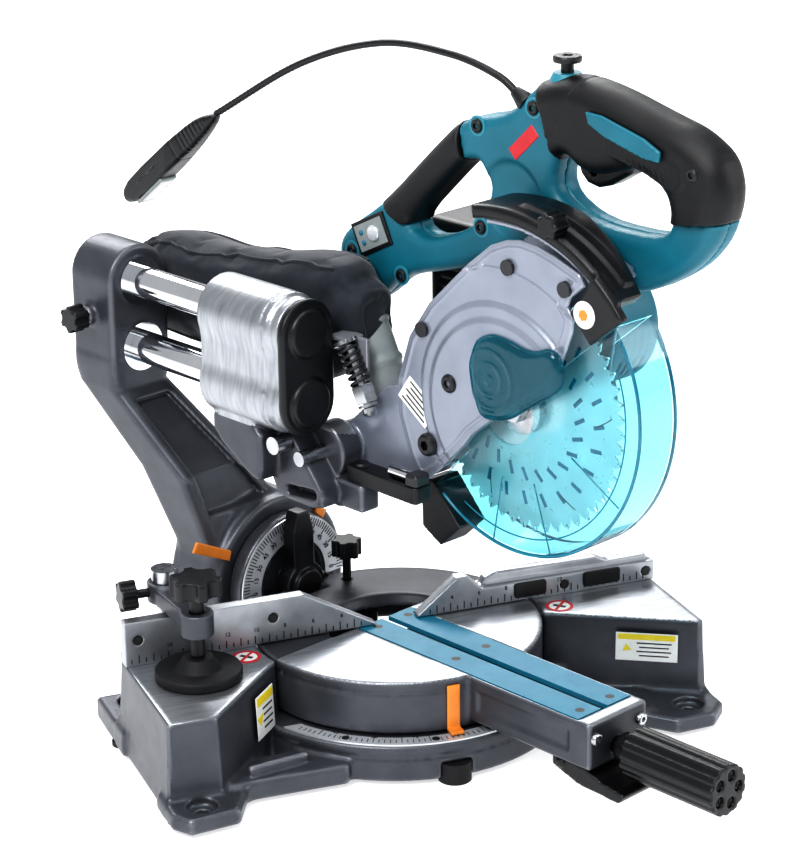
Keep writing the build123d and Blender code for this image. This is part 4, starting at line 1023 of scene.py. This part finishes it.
sculpt("motor_shell", motor_field, (37, -158, 212), (104, -48, 334), 1.4, *ON_HEAD, "teal_plastic",
    ["motor_housing"])
turned_piece("motor_cap", [(11, -1), (13, 0), (13, 1.2), (10, 2.2), (0.5, 2.4)], (MOTOR_END - 0.6, *MOTOR),
    X, *ON_HEAD, "black_plastic", steps=40)
for i in range(4):
    turn = pi / 4 + i * pi / 2
    spot = (MOTOR_END - 1, MOTOR[0] + 37.5 * cos(turn), MOTOR[1] + 37.5 * sin(turn))
    screw(f"motor_screw_{i + 1}", spot, 2.6, "head", X)


def battery_field(x, y, z):
    """The battery: a rounded block with a stepped foot, a seam and grip ribs on both sides."""
    solid = thick(outline([(-49.6, 246), (20, 246), (20, 336), (-49.6, 336)], y, z), x, 52, 116, 5)
    solid = cut(solid, both(np.abs(y + 30) - 0.8, -solid - 1.2))
    ribs = both(0.3 - np.sin(z * 0.9), np.abs(z - 290) - 26, np.abs(y + 5) - 14, 31 - np.abs(x - 84))
    solid = cut(solid, ribs, 0.6)
    return cut(solid, both(np.abs(x - 84) - 20, np.abs(z - 262) - 12, 18.6 - y), 0.6)


sculpt("battery_case", battery_field, (51, -51, 245), (117, 21, 337), 1.3, TURNED, "battery",
    "black_plastic", ["battery_pack"])
brick("battery_button", (84, 19, 262), X, Z, Y, (36, 18, 1.6), TURNED, "battery", "grey_plastic")
brick("battery_label", (84, 19.6, 305), X, Z, Y, (44, 26, 0.8), TURNED, "battery", "grey_plastic")
piece("battery_gauge", *gather([flat_box((70 + 7 * k, 20, 284), X, Z, Y, (3.4, 3.4, 0.6))
    for k in range(4)]), TURNED, "battery", "board_blue")

# ---- guard and blade

GUARD_C = (-125.0, 262.0)
GUARD_R = 104.0


def on_guard(x, r, angle):
    """A point at a radius and an angle round the guard's own centre, in degrees up from its front."""
    return (x, GUARD_C[0] - r * cos(radians(angle)), GUARD_C[1] + r * sin(radians(angle)))


# The guard's edges, bead and ribs are tubes in the darker opaque teal, painted shade for the dark lines along
# the clear walls.
for edge_name, x in (("left", -16.4), ("right", 15.4)):
    arc = [on_guard(x, GUARD_R - 1.2, a) for a in np.linspace(-128, 32, 90)]
    piece(f"guard_edge_{edge_name}", *pipe(arc, 1.1, 8), TURNED, "guard", "guard_clear",
        finish="guard_edge", sharp=0)
arc = [on_guard(-17, 92, a) for a in np.linspace(-118, 24, 80)]
piece("guard_bead", *pipe(arc, 0.5, 8), TURNED, "guard", "guard_clear", finish="guard_edge", sharp=0)
for i, angle in enumerate((-100, -72, -30)):
    rib = [on_guard(-17, r, angle) for r in np.linspace(56, 101, 6)]
    piece(f"guard_rib_{i + 1}", *pipe(rib, 0.45, 8), TURNED, "guard", "guard_clear", finish="guard_edge",
        sharp=0)


def on_blade(x, r, angle):
    """A point at a radius and an angle round the arbor."""
    return (x, ARBOR[0] - r * cos(radians(angle)), ARBOR[1] + r * sin(radians(angle)))


tips = []
for k in range(TEETH):
    a = 360 * k / TEETH
    out_dir = Vector(on_blade(0, 1, -a)) - Vector((0, *ARBOR))
    along = X.cross(out_dir)
    tips.append(flat_box(Vector(on_blade(0, TIP_RADIUS, -a)) + along * 0.9, out_dir, along, X,
        (3.6, 1.8, 1.8)))
piece("carbide_tips", *gather(tips), TURNED, "spindle", "blade_steel", finish="chrome_rail", sharp=20)
slots = [pipe([on_blade(-0.62, r, 60 * k + 0.5 * (r - 60)) for r in np.linspace(60, 73, 8)], 0.35, 6)
    for k in range(6)]
piece("blade_slots", *gather(slots), TURNED, "spindle", "blade_steel", finish="black_print", sharp=0)
marks = []
for k in range(24):
    a = 15 * k
    for r, lean in ((46, 30), (62, 18)):
        out_dir = Vector(on_blade(0, 1, a + lean)) - Vector((0, *ARBOR))
        marks.append(flat_box(on_blade(-0.65, r, a), out_dir, X.cross(out_dir), X, (9, 2.6, 0.2)))
piece("blade_print", *gather(marks), TURNED, "spindle", "blade_steel", finish="board_blue", sharp=0)

# ---- small fastenings and numbers

for i, x in enumerate((-21, 21), 1):
    screw(f"arm_end_screw_{i}", (x, -200.4, 55), 4.2, "turntable", (0, -1, 0), finish="satin_steel",
        slot="satin_steel")
for i, level in enumerate((RAIL_LOW, RAIL_TOP), 1):
    screw(f"rail_bolt_{i}", (RAIL_X, 231.4, level), 6.5, "carriage", Y, finish="black_plastic",
        slot="satin_steel")
turned_piece("bevel_nut", [(10, 0), (17, 0), (18, 1), (18, 6), (16.5, 7), (10, 7)], (0, 170.4, TABLE), Y,
    *ON_TABLE, "satin_steel", finish="black_plastic", steps=6)
turned_piece("bevel_nut_washer", [(10, 0), (19.5, 0), (19.5, 0.4), (10, 0.4)], (0, 170, TABLE), Y,
    *ON_TABLE, "satin_steel", steps=40)


def numeral(text, centre, along, up_dir, size):
    """A number's outline as a flat solid, in millimetres."""
    curve = bpy.data.curves.new("number", "FONT")
    curve.body = text
    curve.size = size
    curve.extrude = 0.15
    curve.align_x, curve.align_y = "CENTER", "CENTER"
    holder = bpy.data.objects.new("number", curve)
    flat = bpy.data.meshes.new_from_object(holder)
    along, up_dir = Vector(along).normalized(), Vector(up_dir).normalized()
    out_dir = along.cross(up_dir)
    points = [Vector(centre) + along * v.co.x + up_dir * v.co.y + out_dir * v.co.z for v in flat.vertices]
    faces = [list(f.vertices) for f in flat.polygons]
    bpy.data.objects.remove(holder)
    bpy.data.curves.remove(curve)
    bpy.data.meshes.remove(flat)
    return points, faces


numbers = []
for degree in (0, 15, 30, 45, 60, 75, 90, 105, 120, 135, 150, 165, 180):
    a = radians(degree)
    shown = str(abs(90 - degree)) if abs(90 - degree) <= 45 else str(90 - abs(90 - degree))
    numbers.append(numeral(shown, (35.5 * cos(a), 104.6, TABLE + 35.5 * sin(a)), (sin(a), 0, -cos(a)),
        (cos(a), 0, sin(a)), 5))
piece("bevel_numbers", *gather(numbers), *ON_TABLE, "scale_white", finish="black_print", sharp=20)
numbers = []
for step in range(-3, 4):
    a = radians(270 + 15 * step)
    numbers.append(numeral(str(abs(15 * step)), (101 * cos(a), 101 * sin(a), 29.3), (-sin(a), cos(a), 0),
        (-cos(a), -sin(a), 0), 4.5))
piece("mitre_numbers", *gather(numbers), *ON_BASE, "scale_white", finish="black_print", sharp=20)
numbers = [numeral(str(k), (s * 10 * k, -0.15, 77.5), X, Z, 4.2) for s in (-1, 1) for k in range(4, 18, 2)]
piece("fence_numbers", *gather(numbers), *ON_BASE, "machined", finish="black_print", sharp=20)

# ---- stage

floor_mesh = bpy.data.meshes.new("floor")
floor_size = 14
floor_mesh.from_pydata([(x * floor_size, y * floor_size, 0) for x,
    y in ((-1, -1), (1, -1), (1, 1), (-1, 1))], [], [(0, 1, 2, 3)])
paper = look("floor_paper", (0.7, 0.705, 0.71), (0.72, 0.725, 0.73), (0.7, 0.8), 3, 0.0, 0.02, 90)
paper.node_tree.nodes["Principled BSDF"].inputs["Emission Color"].default_value = (1, 1, 1, 1)
paper.node_tree.nodes["Principled BSDF"].inputs["Emission Strength"].default_value = 0.45
floor_mesh.materials.append(paper)
floor = bpy.data.objects.new("floor", floor_mesh)
bpy.context.scene.collection.objects.link(floor)


def light(name, place, aim, size, power, colour=(1, 1, 1)):
    lamp = bpy.data.lights.new(name, "AREA")
    lamp.shape = "RECTANGLE"
    lamp.size, lamp.size_y = size
    lamp.energy = power
    lamp.color = colour
    made = bpy.data.objects.new(name, lamp)
    made.location = place
    made.rotation_euler = (Vector(aim) - Vector(place)).to_track_quat("-Z", "Y").to_euler()
    bpy.context.scene.collection.objects.link(made)


light("key", (-1.3, -1.1, 1.9), (0, 0, 0.2), (1.0, 1.0), 31)
light("fill", (1.9, -1.2, 1.2), (0, 0, 0.2), (1.2, 0.8), 13)
light("rim", (0.3, 1.9, 1.6), (0, 0, 0.25), (1.8, 0.8), 30)
light("top", (0.0, 0.0, 2.4), (0, 0, 0), (1.4, 1.4), 14)
world = bpy.data.worlds.new("studio")
world.use_nodes = True
world.node_tree.nodes["Background"].inputs["Color"].default_value = (0.95, 0.97, 1.0, 1)
world.node_tree.nodes["Background"].inputs["Strength"].default_value = 0.45
bpy.context.scene.world = world
bpy.context.scene.view_settings.view_transform = "Standard"
bpy.context.scene.view_settings.look = "High Contrast"

camera_data = bpy.data.cameras.new("camera")
camera_data.sensor_width = 36
camera_data.lens = 117
camera = bpy.data.objects.new("camera", camera_data)
right, up, ahead = (0.93050, -0.36610, -0.01142), (0.13405, 0.31137, 0.94079), (0.34087, 0.87694, -0.33881)
camera.matrix_world = Matrix.Translation((-0.6201, -1.6084, 0.8261)) @ Matrix((right, up,
    [-a for a in ahead])).transposed().to_4x4()
bpy.context.scene.collection.objects.link(camera)
bpy.context.scene.camera = camera
